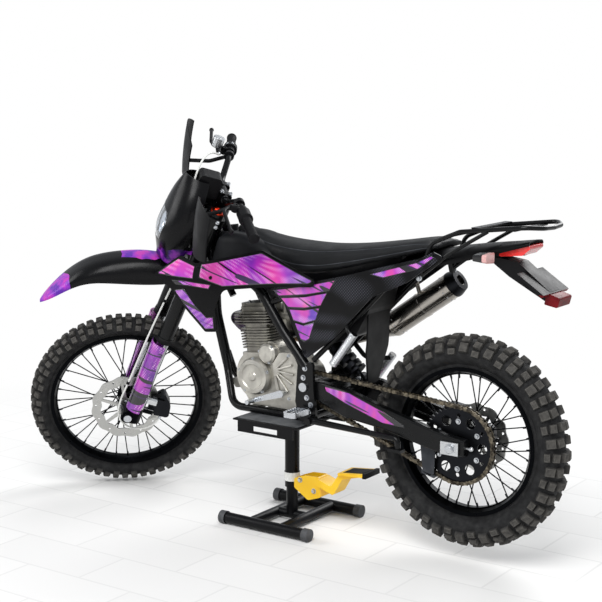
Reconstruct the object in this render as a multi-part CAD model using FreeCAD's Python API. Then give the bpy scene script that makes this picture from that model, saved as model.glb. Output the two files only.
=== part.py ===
import FreeCAD, Part
import math
import os
from functools import lru_cache

# A dirt bike standing on its lift stand, steering at its left stop, both wheels off the floor.
# Millimetres. X points to the rear, Y to the rider's right, Z up.
# The origin is on the floor under the middle of the stand's post.

V = FreeCAD.Vector
RIGHT, LEFT = 1, -1

# Fits and gaps
RUNNING_FIT = 0.05
SEAT_GAP = 0.3
MOVING_GAP = 6.0

# Wheelbase and axles
WHEELBASE = 1407.0
REAR_AXLE_X = 677.0
REAR_AXLE_Z = 386.0
FRONT_AXLE_X = REAR_AXLE_X - WHEELBASE
FRONT_AXLE_Z = 348.0
AXLE_RADIUS = 10.0

# Steering geometry
RAKE = 27.2
AXLE_LEAD = 51.0
FORK_LEAD = 28.0
STEERING_LOCK = 45.7

# Tyres and rims
FRONT_TYRE_RADIUS = 347.0
FRONT_TYRE_WIDTH = 86.0
FRONT_RIM_SEAT = 266.7
REAR_TYRE_RADIUS = 341.0
REAR_TYRE_WIDTH = 110.0
REAR_RIM_SEAT = 228.6
FRONT_LUG_HEIGHT = 13.0
FRONT_ROWS = 60
REAR_LUG_HEIGHT = 15.5
REAR_ROWS = 44
SIDE_LUG_HEIGHT = 7.0
LUG_FOOT = 6.0
CARCASS_SIDES = 5
CARCASS_SWELL = 1.07
FLANGE_RISE = 12.0
RIM_DEPTH = 13.0
SPOKES = 36
SPOKE_RADIUS = 2.0

# Brakes
FRONT_DISC_RADIUS = 130.0
FRONT_DISC_Y = -62.0
REAR_DISC_RADIUS = 112.0
REAR_DISC_Y = 54.0
DISC_THICKNESS = 4.0
DISC_GAP = 1.5

# Chain drive
CHAIN_PITCH = 15.875
CHAIN_Y = -70.0
REAR_TEETH = 48
FRONT_TEETH = 13
SPROCKET_THICKNESS = 5.8
CHAIN_WIDTH = 17.0
CHAIN_HEIGHT = 15.0
DRIVE_X = 45.0
DRIVE_Z = 525.0

# Engine
CRANK_X = -105.0
CRANK_Z = 507.0
CASE_RADIUS = 86.0
CASE_HALF = 60.0
CASE_FLOOR = 402.0
CYLINDER_LEAN = 6.0

# Frame
HEAD_LOW = 658.0
HEAD_HIGH = 796.0
HEAD_RADIUS = 27.0
STEM_RADIUS = 15.0
SPAR_RADIUS = 17.0
SPAR_Y = 92.0
DOWN_TUBE_RADIUS = 18.0
CRADLE_RADIUS = 13.0
CRADLE_Y = 62.0
PLATE_INNER = 98.0
PLATE_THICKNESS = 12.0
PIVOT_X = 122.0
PIVOT_Z = 505.0
PIVOT_RADIUS = 9.0
RAIL_RADIUS = 11.0
RAIL_Y = 88.0

# Fork and clamps, measured along the steering axis from the axle's level
FORK_Y = 105.0
TUBE_RADIUS = 27.0
SLIDER_RADIUS = 23.5
LUG_RADIUS = 30.0
AXLE_LUG_RADIUS = 25.0
TUBE_LOW = 330.0
TUBE_HIGH = 852.0
LOWER_CLAMP = 606.0
LOWER_CLAMP_HEIGHT = 34.0
UPPER_CLAMP = 804.0
UPPER_CLAMP_HEIGHT = 34.0
BAR_HEIGHT = 888.0
BAR_LEAD = 10.0
BAR_RADIUS = 11.0

# Lift stand
STAND_X = 132.7
STAND_Y = 160.5
STAND_TUBE = 20.0
POST_RADIUS = 25.0
POST_INNER = 20.0
DECK_TOP = CASE_FLOOR - 2 * CRADLE_RADIUS - 2.0
DECK_PLATE = 5.0


# Small helpers

def plane_point(a, b, plane, level):
    """A point of a flat outline: plane xz, xy or yz, at a level on the third axis."""
    if plane == "xz":
        return V(a, level, b)
    if plane == "xy":
        return V(a, b, level)
    return V(level, a, b)


def outline(points, plane="xz", level=0.0):
    """A closed wire of straight sides. A third value on a point rounds that corner."""
    flat = [plane_point(p[0], p[1], plane, level) for p in points]
    radii = [p[2] if len(p) > 2 else 0.0 for p in points]
    count = len(flat)
    starts = []
    ends = []
    arcs = []
    for i in range(count):
        corner = flat[i]
        back = (flat[i - 1] - corner).normalize()
        ahead = (flat[(i + 1) % count] - corner).normalize()
        if radii[i] <= 0:
            starts.append(corner)
            ends.append(corner)
            arcs.append(None)
            continue
        half = back.getAngle(ahead) / 2
        reach = radii[i] / math.tan(half)
        first = corner + back * reach
        last = corner + ahead * reach
        bisector = (back + ahead).normalize()
        middle = corner + bisector * (radii[i] / math.sin(half) - radii[i])
        starts.append(first)
        ends.append(last)
        arcs.append(Part.Arc(first, middle, last).toShape())
    edges = []
    for i in range(count):
        if arcs[i]:
            edges.append(arcs[i])
        following = starts[(i + 1) % count]
        if ends[i].distanceToPoint(following) > 1e-6:
            edges.append(Part.LineSegment(ends[i], following).toShape())
    return Part.Wire(edges)


def slab(points, low, high, plane="xz"):
    """An outline given thickness from low to high along the plane's normal."""
    normal = {"xz": V(0, 1, 0), "xy": V(0, 0, 1), "yz": V(1, 0, 0)}[plane]
    return Part.Face(outline(points, plane, low)).extrude(normal * (high - low))


def rod_y(x, z, radius, low, high):
    """A cylinder along Y."""
    return Part.makeCylinder(radius, high - low, V(x, low, z), V(0, 1, 0))


def rod(start, end, radius):
    """A cylinder between two points."""
    return Part.makeCylinder(radius, start.distanceToPoint(end), start, end - start)


def cone(start, end, radius_start, radius_end):
    """A tapered bar between two points."""
    length = start.distanceToPoint(end)
    return Part.makeCone(radius_start, radius_end, length, start, end - start)


def box(x0, x1, y0, y1, z0, z1):
    """A block given by its low and high sides."""
    return Part.makeBox(x1 - x0, y1 - y0, z1 - z0, V(x0, y0, z0))


def fuse(shapes):
    """One solid from solids that meet."""
    return shapes[0].multiFuse(shapes[1:]).removeSplitter() if len(shapes) > 1 else shapes[0]


def mirrored(shape):
    """The same piece on the other side of the bike."""
    return shape.mirror(V(0, 0, 0), V(0, 1, 0))


def pair(shape):
    """A piece and its mirror image, apart."""
    return Part.makeCompound([shape, mirrored(shape)])


def link(x0, z0, r0, x1, z1, r1, low, high):
    """Two round ends joined by their common tangents, given thickness along Y."""
    gap = math.hypot(x1 - x0, z1 - z0)
    along = math.atan2(z1 - z0, x1 - x0)
    lean = math.acos((r0 - r1) / gap)

    def rim(x, z, r, angle):
        return V(x + r * math.cos(angle), low, z + r * math.sin(angle))

    upper0 = rim(x0, z0, r0, along + lean)
    upper1 = rim(x1, z1, r1, along + lean)
    lower0 = rim(x0, z0, r0, along - lean)
    lower1 = rim(x1, z1, r1, along - lean)
    edges = [
        Part.LineSegment(upper0, upper1).toShape(),
        Part.Arc(upper1, rim(x1, z1, r1, along), lower1).toShape(),
        Part.LineSegment(lower1, lower0).toShape(),
        Part.Arc(lower0, rim(x0, z0, r0, along + math.pi), upper0).toShape(),
    ]
    return Part.Face(Part.Wire(edges)).extrude(V(0, high - low, 0))


def bent_path(points, bend):
    """Straight runs joined by tangent arcs."""
    edges = []
    here = points[0]
    for i in range(1, len(points) - 1):
        corner = points[i]
        back = (points[i - 1] - corner)
        ahead = (points[i + 1] - corner)
        shortest = min(back.Length, ahead.Length)
        back.normalize()
        ahead.normalize()
        half = back.getAngle(ahead) / 2
        reach = min(bend / math.tan(half), 0.45 * shortest)
        radius = reach * math.tan(half)
        first = corner + back * reach
        last = corner + ahead * reach
        bisector = (back + ahead).normalize()
        middle = corner + bisector * (radius / math.sin(half) - radius)
        edges.append(Part.LineSegment(here, first).toShape())
        edges.append(Part.Arc(first, middle, last).toShape())
        here = last
    edges.append(Part.LineSegment(here, points[-1]).toShape())
    return Part.Wire(edges)


def tube(points, radius, bend=40.0):
    """A round bar along straight runs and tangent arcs."""
    points = [V(*p) for p in points]
    if len(points) == 2:
        return rod(points[0], points[1], radius)
    path = bent_path(points, bend)
    circle = Part.Wire([Part.Circle(points[0], points[1] - points[0], radius).toShape()])
    solid = path.makePipeShell([circle], True, False)
    return solid if solid.Volume > 0 else solid.reversed()


def turned(profile, x=0.0, z=0.0):
    """A closed profile of (radius, y) turned about an axis along Y."""
    points = [V(x + r, y, z) for r, y in profile]
    face = Part.Face(Part.makePolygon(points + [points[0]]))
    return face.revolve(V(x, 0, z), V(0, 1, 0), 360)


def around(shape, count, x, z, first=0.0):
    """Copies of a piece spaced evenly about an axis along Y."""
    copies = []
    for i in range(count):
        copy = shape.copy()
        copy.rotate(V(x, 0, z), V(0, 1, 0), first + 360.0 * i / count)
        copies.append(copy)
    return copies


def rounded_ring(x, half_top, half_low, low, high, corner):
    """A rounded four-sided section across the bike."""
    points = [
        (-half_low, low, corner), (half_low, low, corner),
        (half_top, high, corner), (-half_top, high, corner),
    ]
    return outline(points, "yz", x)


def crowned_ring(x, half, low, high, crown):
    """A section with a flat floor, upright sides and a crowned top, across the bike."""
    shoulder = high - crown
    floor = [V(x, -half, low), V(x, half, low)]
    right = V(x, half, shoulder)
    left = V(x, -half, shoulder)
    edges = [
        Part.LineSegment(floor[0], floor[1]).toShape(),
        Part.LineSegment(floor[1], right).toShape(),
        Part.Arc(right, V(x, 0, high), left).toShape(),
        Part.LineSegment(left, floor[0]).toShape(),
    ]
    return Part.Wire(edges)


def loft(wires, ruled=False):
    """A solid through closed sections."""
    solid = Part.makeLoft(wires, True, ruled)
    return solid if solid.Volume > 0 else solid.reversed()


def shell_section(x, points, thickness):
    """A curved wall's section at x: a smooth outer line of (y, z) and the same line moved in."""
    outer = [V(x, y, z) for y, z in points]
    inner = [V(x, y + thickness if y < 0 else y - thickness, z) for y, z in points]
    front = Part.BSplineCurve()
    front.interpolate(outer)
    back = Part.BSplineCurve()
    back.interpolate(inner[::-1])
    edges = [
        front.toShape(),
        Part.LineSegment(outer[-1], inner[-1]).toShape(),
        back.toShape(),
        Part.LineSegment(inner[0], outer[0]).toShape(),
    ]
    return Part.Wire(edges)


# The steering frame: its Z runs up the steering axis, its X to the rear, its zero is at the axle's foot

RAKE_RAD = math.radians(RAKE)
AXIS = V(math.sin(RAKE_RAD), 0, math.cos(RAKE_RAD))
FOOT = V(FRONT_AXLE_X, 0, FRONT_AXLE_Z) + V(math.cos(RAKE_RAD), 0, -math.sin(RAKE_RAD)) * AXLE_LEAD


def on_head(shape):
    """Move a piece drawn in the steering frame to the bike, steering straight ahead."""
    copy = shape.copy()
    copy.rotate(V(0, 0, 0), V(0, 1, 0), RAKE)
    copy.translate(FOOT)
    return copy


def steered(shape):
    """Move a piece drawn in the steering frame to the bike, steering at the left stop."""
    copy = shape.copy()
    copy.rotate(V(0, 0, 0), V(0, 0, 1), STEERING_LOCK)
    return on_head(copy)


FORK_X = -FORK_LEAD
AXLE_X = -AXLE_LEAD


# Wheels

def faceted_ring(rings):
    """A closed ring with flat faces through a round of polygons with the same number of corners."""
    faces = []
    for here, there in zip(rings, rings[1:] + rings[:1]):
        for i in range(len(here)):
            faces.append(Part.Face(Part.makePolygon([here[i], there[i], there[i - 1], here[i - 1], here[i]])))
    shell = Part.Shell(faces)
    shell.sewShape()
    return Part.Solid(shell)


def tyre(radius, lug_height, width, rim_seat, bead, rows, blocks):
    """A knobbly tyre about the Y axis: an oval carcass with one flat-sided sector for each row of blocks.

    Each block is (row it starts on, angle from the crown, length round the tyre, width, height), on every second row.
    """
    crown = radius - lug_height
    half = width / 2 - SIDE_LUG_HEIGHT
    low = rim_seat + FLANGE_RISE
    middle = low + 0.48 * (crown - low)
    seat = rim_seat / math.cos(math.pi / rows)
    foot = math.pi - math.asin(bead / half)
    profile = [(seat, bead), (seat, -bead)]
    for i in range(CARCASS_SIDES + 1):
        angle = foot * (2.0 * i / CARCASS_SIDES - 1)
        reach = crown - middle if math.cos(angle) > 0 else middle - low
        swell = CARCASS_SWELL if 0 < i < CARCASS_SIDES else 1.0
        profile.append((middle + swell * reach * math.cos(angle), swell * half * math.sin(angle)))
    rings = []
    for row in range(rows):
        turn = (row - 0.5) * 2 * math.pi / rows
        rings.append([V(r * math.cos(turn), y, r * math.sin(turn)) for r, y in profile])
    solids = [faceted_ring(rings)]
    for row, angle, length, across, height in blocks:
        turn = math.radians(angle)
        lean = math.degrees(math.atan2(math.sin(turn) / half, math.cos(turn) / (crown - middle)))
        block = box(-LUG_FOOT, height, -across / 2, across / 2, -length / 2, length / 2)
        block.rotate(V(0, 0, 0), V(0, 0, 1), lean)
        block.translate(V(middle + (crown - middle) * math.cos(turn), half * math.sin(turn), 0))
        for side in [block, mirrored(block)] if angle else [block]:
            solids += around(side, rows // 2, 0, 0, row * 360.0 / rows)
    return fuse(solids)


def rim(x, z, rim_seat, bead):
    """An aluminium rim: flanges outside the tyre's beads and a stepped inner face."""
    lip = bead + 3.5
    return turned([
        (rim_seat, -bead), (rim_seat, bead), (rim_seat + 9, bead), (rim_seat + 9, lip),
        (rim_seat - 4, lip), (rim_seat - RIM_DEPTH + 2, 0.62 * bead), (rim_seat - RIM_DEPTH - 3, 0.4 * bead),
        (rim_seat - RIM_DEPTH - 3, -0.4 * bead), (rim_seat - RIM_DEPTH + 2, -0.62 * bead),
        (rim_seat - 4, -lip), (rim_seat + 9, -lip), (rim_seat + 9, -bead),
    ], x, z)


def laced_spokes(x, z, flange_radius, flange_y, rim_radius):
    """Spokes from both hub flanges to the rim, leaning in turn to each side, inner and outer heads."""
    bars = []
    for i in range(SPOKES):
        side = RIGHT if i % 2 else LEFT
        lean = 1 if (i // 2) % 2 else -1
        rim_angle = math.radians(360.0 * i / SPOKES)
        hub_angle = rim_angle + lean * math.radians(62.0)
        hub = V(x + flange_radius * math.cos(hub_angle), side * (flange_y + lean * 3.3),
                z + flange_radius * math.sin(hub_angle))
        end = V(x + rim_radius * math.cos(rim_angle), side * (4.0 + lean * 1.6), z + rim_radius * math.sin(rim_angle))
        bars.append(rod(hub, end, SPOKE_RADIUS))
    return bars


def hub(x, z, barrel, flange, flange_y, ends):
    """A hub: barrel, two spoke flanges, bearing bosses and a bore for the axle."""
    left_end, right_end = ends
    bore = AXLE_RADIUS + RUNNING_FIT
    return turned([
        (bore, left_end), (bore, right_end), (barrel, right_end), (barrel, flange_y + 6), (flange, flange_y + 5),
        (flange, flange_y - 5), (barrel - 2, flange_y - 9), (barrel - 2, 9 - flange_y), (flange, 5 - flange_y),
        (flange, -5 - flange_y), (barrel, -6 - flange_y), (barrel, left_end),
    ], x, z)


FRONT_BEAD = 20.0
REAR_BEAD = 26.0
FRONT_FLANGE = 34.0
REAR_FLANGE = 40.0
HUB_END = 66.0
SPACER_GAP = 0.3


def front_tyre():
    body = tyre(FRONT_TYRE_RADIUS, FRONT_LUG_HEIGHT, FRONT_TYRE_WIDTH, FRONT_RIM_SEAT, FRONT_BEAD, FRONT_ROWS, [
        (0, 0, 19, 32, FRONT_LUG_HEIGHT), (1, 56, 19, 25, FRONT_LUG_HEIGHT - 3),
    ])
    body.translate(V(AXLE_X, 0, 0))
    return steered(body)


def front_wheel():
    hoop = rim(AXLE_X, 0, FRONT_RIM_SEAT, FRONT_BEAD)
    centre = hub(AXLE_X, 0, 24, FRONT_FLANGE, 28, (FRONT_DISC_Y + DISC_THICKNESS / 2, HUB_END))
    bars = laced_spokes(AXLE_X, 0, FRONT_FLANGE - 5, 28, FRONT_RIM_SEAT - RIM_DEPTH)
    return steered(fuse([hoop, centre] + bars))


def rear_tyre():
    body = tyre(REAR_TYRE_RADIUS, REAR_LUG_HEIGHT, REAR_TYRE_WIDTH, REAR_RIM_SEAT, REAR_BEAD, REAR_ROWS, [
        (0, 0, 25, 44, REAR_LUG_HEIGHT), (1, 56, 25, 34, REAR_LUG_HEIGHT - 4),
    ])
    body.translate(V(REAR_AXLE_X, 0, REAR_AXLE_Z))
    return body


def rear_wheel():
    hoop = rim(REAR_AXLE_X, REAR_AXLE_Z, REAR_RIM_SEAT, REAR_BEAD)
    left_end = CHAIN_Y + SPROCKET_THICKNESS / 2
    right_end = REAR_DISC_Y - DISC_THICKNESS / 2
    centre = hub(REAR_AXLE_X, REAR_AXLE_Z, 30, REAR_FLANGE, 27, (left_end, right_end))
    carrier = turned([(29, left_end), (29, left_end + 7), (58, left_end + 5), (58, left_end)], REAR_AXLE_X, REAR_AXLE_Z)
    bars = laced_spokes(REAR_AXLE_X, REAR_AXLE_Z, REAR_FLANGE - 5, 27, REAR_RIM_SEAT - RIM_DEPTH)
    return fuse([hoop, centre, carrier] + bars)


def wave_disc(x, z, y, radius, waves, carrier):
    """A brake disc with a wavy edge, windows inside the swept ring, arms to the hub and a centre hole."""
    def wavy(mean, swing, phase):
        points = []
        steps = waves * 8
        for i in range(steps):
            angle = 2 * math.pi * i / steps
            r = mean + swing * math.cos(waves * angle + phase)
            points.append(V(x + r * math.cos(angle), y - DISC_THICKNESS / 2, z + r * math.sin(angle)))
        line = Part.BSplineCurve()
        line.interpolate(points, True)
        return Part.Face(Part.Wire([line.toShape()])).extrude(V(0, DISC_THICKNESS, 0))

    outer = wavy(radius - 3, 3, 0)
    inner = wavy(radius - 36, 3, 0)
    low, high = y - DISC_THICKNESS / 2, y + DISC_THICKNESS / 2
    swept = outer.cut(inner)
    arm = slab([(x + carrier - 8, z - 7), (x + radius - 30, z - 5), (x + radius - 30, z + 5), (x + carrier - 8, z + 7)],
               low, high)
    centre = rod_y(x, z, carrier, low, high)
    disc = fuse([swept, centre] + around(arm, 6, x, z))
    hole = rod_y(x + radius - 17, z, 4, low - 1, high + 1)
    holes = around(hole, 12, x, z, 15) + [rod_y(x, z, AXLE_RADIUS + 3, low - 1, high + 1)]
    return disc.cut(Part.makeCompound(holes))


def front_disc():
    return steered(wave_disc(AXLE_X, 0, FRONT_DISC_Y, FRONT_DISC_RADIUS, 12, 36))


def rear_disc():
    return wave_disc(REAR_AXLE_X, REAR_AXLE_Z, REAR_DISC_Y, REAR_DISC_RADIUS, 12, 38)


# Chain drive

def pitch_radius(teeth):
    return CHAIN_PITCH / (2 * math.sin(math.pi / teeth))


ROLLER_RADIUS = 5.08
TIP_RISE = 3.4
GROOVE_RISE = 5.2
WAIST_TOP = 6.2
WAIST_FOOT = -4.6
GROOVE_HALF = SPROCKET_THICKNESS / 2 + SEAT_GAP


def toothed_disc(x, z, teeth, bore_holes):
    """A sprocket: a gap for one roller between each two teeth."""
    pitch = pitch_radius(teeth)
    root = pitch - ROLLER_RADIUS - SEAT_GAP
    tip = pitch + TIP_RISE
    step = 2 * math.pi / teeth
    points = []
    for i in range(teeth):
        for share, r in ((-0.30, root), (-0.11, tip), (0.11, tip), (0.30, root)):
            angle = (i + 0.5 + share) * step
            points.append((x + r * math.cos(angle), z + r * math.sin(angle)))
    low = CHAIN_Y - SPROCKET_THICKNESS / 2
    return slab(points, low, low + SPROCKET_THICKNESS).cut(Part.makeCompound(bore_holes))


def rear_sprocket():
    low = CHAIN_Y - SPROCKET_THICKNESS / 2 - 1
    high = low + SPROCKET_THICKNESS + 2
    window = rod_y(REAR_AXLE_X + 84, REAR_AXLE_Z, 17, low, high)
    small = rod_y(REAR_AXLE_X + 95, REAR_AXLE_Z, 7, low, high)
    holes = around(window, 6, REAR_AXLE_X, REAR_AXLE_Z) + around(small, 6, REAR_AXLE_X, REAR_AXLE_Z, 30)
    holes.append(rod_y(REAR_AXLE_X, REAR_AXLE_Z, 31, low, high))
    return toothed_disc(REAR_AXLE_X, REAR_AXLE_Z, REAR_TEETH, holes)


def front_sprocket():
    low = CHAIN_Y - SPROCKET_THICKNESS / 2 - 1
    hole = rod_y(DRIVE_X, DRIVE_Z, 12, low, low + SPROCKET_THICKNESS + 2)
    return toothed_disc(DRIVE_X, DRIVE_Z, FRONT_TEETH, [hole])


def chain_loop(offset, low, high):
    """The loop round both sprockets, moved out from the pitch line by an offset."""
    return link(DRIVE_X, DRIVE_Z, pitch_radius(FRONT_TEETH) + offset,
                REAR_AXLE_X, REAR_AXLE_Z, pitch_radius(REAR_TEETH) + offset, low, high)


def bearing(angle):
    return V(math.cos(angle), 0, math.sin(angle))


@lru_cache(None)
def chain_stations():
    """Each roller's place on the pitch line, with its outward direction."""
    drive, axle = V(DRIVE_X, 0, DRIVE_Z), V(REAR_AXLE_X, 0, REAR_AXLE_Z)
    front, rear = pitch_radius(FRONT_TEETH), pitch_radius(REAR_TEETH)
    along = math.atan2(REAR_AXLE_Z - DRIVE_Z, REAR_AXLE_X - DRIVE_X)
    span = (axle - drive).Length
    lean = math.acos((front - rear) / span)
    run = math.sqrt(span ** 2 - (rear - front) ** 2)
    rear_arc = 2 * lean * rear
    total = 2 * run + rear_arc + 2 * (math.pi - lean) * front
    count = 2 * round(total / (2 * CHAIN_PITCH))
    places = []
    for i in range(count):
        gone = i * total / count
        ahead = 0.0
        if gone < run:
            angle, centre, radius, ahead = along + lean, drive, front, gone
        elif gone < run + rear_arc:
            angle, centre, radius = along + lean - (gone - run) / rear, axle, rear
        elif gone < 2 * run + rear_arc:
            angle, centre, radius, ahead = along - lean, axle, rear, gone - run - rear_arc
        else:
            angle, centre, radius = along - lean - (gone - 2 * run - rear_arc) / front, drive, front
        place = centre + bearing(angle) * radius + bearing(angle - math.pi / 2) * ahead
        places.append((place, bearing(angle)))
    return places


def drive_chain():
    """The chain as one loop of outer plates, each waisted between its rollers, with a groove for the teeth."""
    low = CHAIN_Y - CHAIN_WIDTH / 2
    high = CHAIN_Y + CHAIN_WIDTH / 2
    rings = []
    for i, (place, out) in enumerate(chain_stations()):
        top, foot = (CHAIN_HEIGHT / 2, -CHAIN_HEIGHT / 2) if i % 2 else (WAIST_TOP, WAIST_FOOT)
        corners = [(foot, low), (top, low), (top, high), (foot, high),
                   (foot, CHAIN_Y + GROOVE_HALF), (GROOVE_RISE, CHAIN_Y + GROOVE_HALF),
                   (GROOVE_RISE, CHAIN_Y - GROOVE_HALF), (foot, CHAIN_Y - GROOVE_HALF)]
        rings.append([place + out * rise + V(0, y, 0) for rise, y in corners])
    return faceted_ring(rings)


# Frame

def axis_point(height, lead=0.0, y=0.0):
    """A point at a height along the steering axis, ahead of it by a lead."""
    return FOOT + AXIS * height - V(math.cos(RAKE_RAD), 0, -math.sin(RAKE_RAD)) * lead + V(0, y, 0)


PLATE_TOP_Z = 592.0
SHOCK_Y = 30.0
SHOCK_TOP = (66.0, 705.0)
SHOCK_FOOT = (262.0, 530.0)
RAIL_PATH = [(-20, 772), (170, 846), (420, 914), (615, 962)]
STRUT_PATH = [(150, 596), (330, 768), (470, 910)]


def head_tube():
    low = axis_point(HEAD_LOW)
    high = axis_point(HEAD_HIGH)
    return rod(low, high, HEAD_RADIUS)


@lru_cache(None)
def frame_spar(side):
    start = axis_point(HEAD_LOW + 90)
    return tube([
        (start.x, side * 12, start.z), (-250, side * (SPAR_Y - 14), 872), (-75, side * SPAR_Y, 820),
        (25, side * SPAR_Y, 680), (126, side * (PLATE_INNER + 2), PLATE_TOP_Z - 20),
    ], SPAR_RADIUS, 120)


@lru_cache(None)
def down_tube():
    """The front tube, set back from the head so that the lower clamp can turn past it."""
    start = axis_point(HEAD_LOW + 36)
    return tube([(start.x, 0, start.z), (-334, 0, 880), (-324, 0, 690), (-276, 0, 520)], DOWN_TUBE_RADIUS, 200)


@lru_cache(None)
def cradle(side):
    return tube([
        (-284, side * 8, 560), (-262, side * 16, 492), (-205, side * CRADLE_Y, CASE_FLOOR - CRADLE_RADIUS),
        (70, side * CRADLE_Y, CASE_FLOOR - CRADLE_RADIUS), (118, side * (PLATE_INNER - 2), 420),
    ], CRADLE_RADIUS, 60)


@lru_cache(None)
def pivot_plate():
    """The cast plate each side that carries the swingarm's pivot, footpeg and side stand."""
    points = [
        (98, PLATE_TOP_Z, 8), (156, PLATE_TOP_Z - 4, 8), (160, 500, 20), (172, 388, 10),
        (108, 388, 10), (88, 452, 20),
    ]
    return slab(points, PLATE_INNER, PLATE_INNER + PLATE_THICKNESS)


@lru_cache(None)
def main_frame():
    stem_hole = rod(axis_point(HEAD_LOW - 5), axis_point(HEAD_HIGH + 5), STEM_RADIUS + RUNNING_FIT)
    parts = [head_tube(), down_tube()]
    for side in (LEFT, RIGHT):
        parts.append(frame_spar(side))
        parts.append(cradle(side))
        plate = pivot_plate()
        parts.append(plate if side == RIGHT else mirrored(plate))
    shock_x, shock_z = SHOCK_TOP
    parts.append(rod(V(46, -SPAR_Y, 668), V(46, SPAR_Y, 668), 13))
    ears = slab([(36, 655), (56, 655), (shock_x + 14, shock_z - 4, 6), (shock_x + 8, shock_z + 14, 6), (40, 690)],
                SHOCK_Y - 24, SHOCK_Y + 24)
    parts.append(ears)
    parts.append(box(-128, -96, -CRADLE_Y, CRADLE_Y, CASE_FLOOR - 10, CASE_FLOOR))
    parts.append(box(20, 52, -CRADLE_Y, CRADLE_Y, CASE_FLOOR - 10, CASE_FLOOR))
    parts.append(rod(V(140, -PLATE_INNER - 2, 404), V(140, PLATE_INNER + 2, 404), 12))
    parts.append(rod(axis_point(HEAD_LOW + 40), V(-250, 0, 760), 12))
    parts.append(rod(V(-250, -SPAR_Y + 8, 872), V(-250, SPAR_Y - 8, 872), 12))
    frame = fuse(parts)
    pivot = rod_y(PIVOT_X, PIVOT_Z, PIVOT_RADIUS + RUNNING_FIT, -PLATE_INNER - 30, PLATE_INNER + 30)
    eye = link(shock_x, shock_z, 19, shock_x + 52, shock_z - 46, 24, SHOCK_Y - 14, SHOCK_Y + 14)
    bolt = rod_y(shock_x, shock_z, 6, SHOCK_Y - 30, SHOCK_Y + 30)
    return frame.cut(Part.makeCompound([stem_hole, pivot, eye, bolt]))


def rail_height(x):
    """The seat rail's height at x."""
    for (x0, z0), (x1, z1) in zip(RAIL_PATH, RAIL_PATH[1:]):
        if x0 <= x <= x1:
            return z0 + (z1 - z0) * (x - x0) / (x1 - x0)
    return RAIL_PATH[-1][1]


@lru_cache(None)
def subframe():
    """Two seat rails and two struts, tied across."""
    parts = []
    for side in (LEFT, RIGHT):
        rail = tube([(x, side * RAIL_Y, z) for x, z in RAIL_PATH], RAIL_RADIUS, 200)
        strut = tube([(x, side * (RAIL_Y + 6), z) for x, z in STRUT_PATH], RAIL_RADIUS - 2, 200)
        parts += [rail, strut]
    for x, z in (RAIL_PATH[-1], RAIL_PATH[2]):
        parts.append(rod(V(x, -RAIL_Y, z), V(x, RAIL_Y, z), RAIL_RADIUS - 1))
    return fuse(parts).cut(main_frame_cutter())


def main_frame_cutter():
    """The frame's outer form where the seat rails meet it."""
    return Part.makeCompound([frame_spar(LEFT), frame_spar(RIGHT), pivot_plate(), mirrored(pivot_plate())])


# Engine

def on_cylinder(shape):
    """Move a piece drawn upright over the crank to the leaning cylinder."""
    copy = shape.copy()
    copy.rotate(V(0, 0, 0), V(0, 1, 0), -CYLINDER_LEAN)
    copy.translate(V(CRANK_X, 0, CRANK_Z))
    return copy


BARREL_BASE = 78.0
HEAD_BASE = 172.0
HEAD_TOP = 246.0
FIN_THICKNESS = 3.0
FIN_PITCH = 9.4
COVER_Y = CASE_HALF
CLUTCH_X = -10.0
CLUTCH_Z = 500.0
STARTER_X = -48.0
STARTER_Z = 592.0


def rounded_block(half_x, half_y, low, high, corner):
    points = [(-half_x, -half_y, corner), (half_x, -half_y, corner),
              (half_x, half_y, corner), (-half_x, half_y, corner)]
    return slab(points, low, high, "xy")


def crankcase():
    main = link(CRANK_X, CRANK_Z, CASE_RADIUS, 36, 508, 63, -CASE_HALF, CASE_HALF)
    sump = slab([(-170, 450, 10), (-140, CASE_FLOOR, 14), (62, CASE_FLOOR, 14), (84, 470, 10)], -50, 50)
    deck = on_cylinder(rounded_block(62, 56, 40, BARREL_BASE, 14))
    bulge = rod_y(STARTER_X, STARTER_Z, 38, -CASE_HALF, 20)
    mount = slab([(-250, 470), (-232, 440, 8), (-160, 452), (-160, 500)], -14, 14)
    block = fuse([main, sump, deck, bulge, mount])
    shaft = rod_y(DRIVE_X, DRIVE_Z, 12.5, CHAIN_Y - SPROCKET_THICKNESS / 2 - 5, 0)
    barrel_room = on_cylinder(rounded_block(70, 62, BARREL_BASE, HEAD_BASE, 22))
    case = fuse([block.cut(barrel_room), shaft, front_sprocket()])
    return case.cut(Part.makeCompound([down_tube(), cradle(LEFT), cradle(RIGHT)]))


def cylinder_barrel():
    core = on_cylinder(rounded_block(50, 48, BARREL_BASE, HEAD_BASE, 16))
    fins = []
    count = int((HEAD_BASE - BARREL_BASE - 14) / FIN_PITCH)
    for i in range(count):
        low = BARREL_BASE + 14 + i * FIN_PITCH
        grow = 4.0 * i / count
        fins.append(on_cylinder(rounded_block(64 + grow, 55 + grow, low, low + FIN_THICKNESS, 22)))
    return fuse([core] + fins)


@lru_cache(None)
def cylinder_head():
    core = on_cylinder(rounded_block(56, 52, HEAD_BASE, HEAD_TOP - 12, 14))
    fins = []
    count = int((HEAD_TOP - HEAD_BASE - 24) / FIN_PITCH)
    for i in range(count):
        low = HEAD_BASE + 4 + i * FIN_PITCH
        fins.append(on_cylinder(rounded_block(80, 68, low, low + FIN_THICKNESS, 20)))
    rocker = on_cylinder(rounded_block(60, 44, HEAD_TOP - 14, HEAD_TOP, 16))
    stub = rod(exhaust_port(-6), exhaust_port(18), 24)
    intake = rod(intake_port(-10), intake_port(14), 24)
    return fuse([core, rocker, stub, intake] + fins)


def cylinder_point(x, y, height):
    angle = math.radians(CYLINDER_LEAN)
    return V(CRANK_X + x * math.cos(angle) - height * math.sin(angle), y,
             CRANK_Z + x * math.sin(angle) + height * math.cos(angle))


def exhaust_port(out):
    return cylinder_point(-62 - out, 0, HEAD_BASE + 30)


def intake_port(out):
    return cylinder_point(62 + out, 0, HEAD_BASE + 26)


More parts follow.
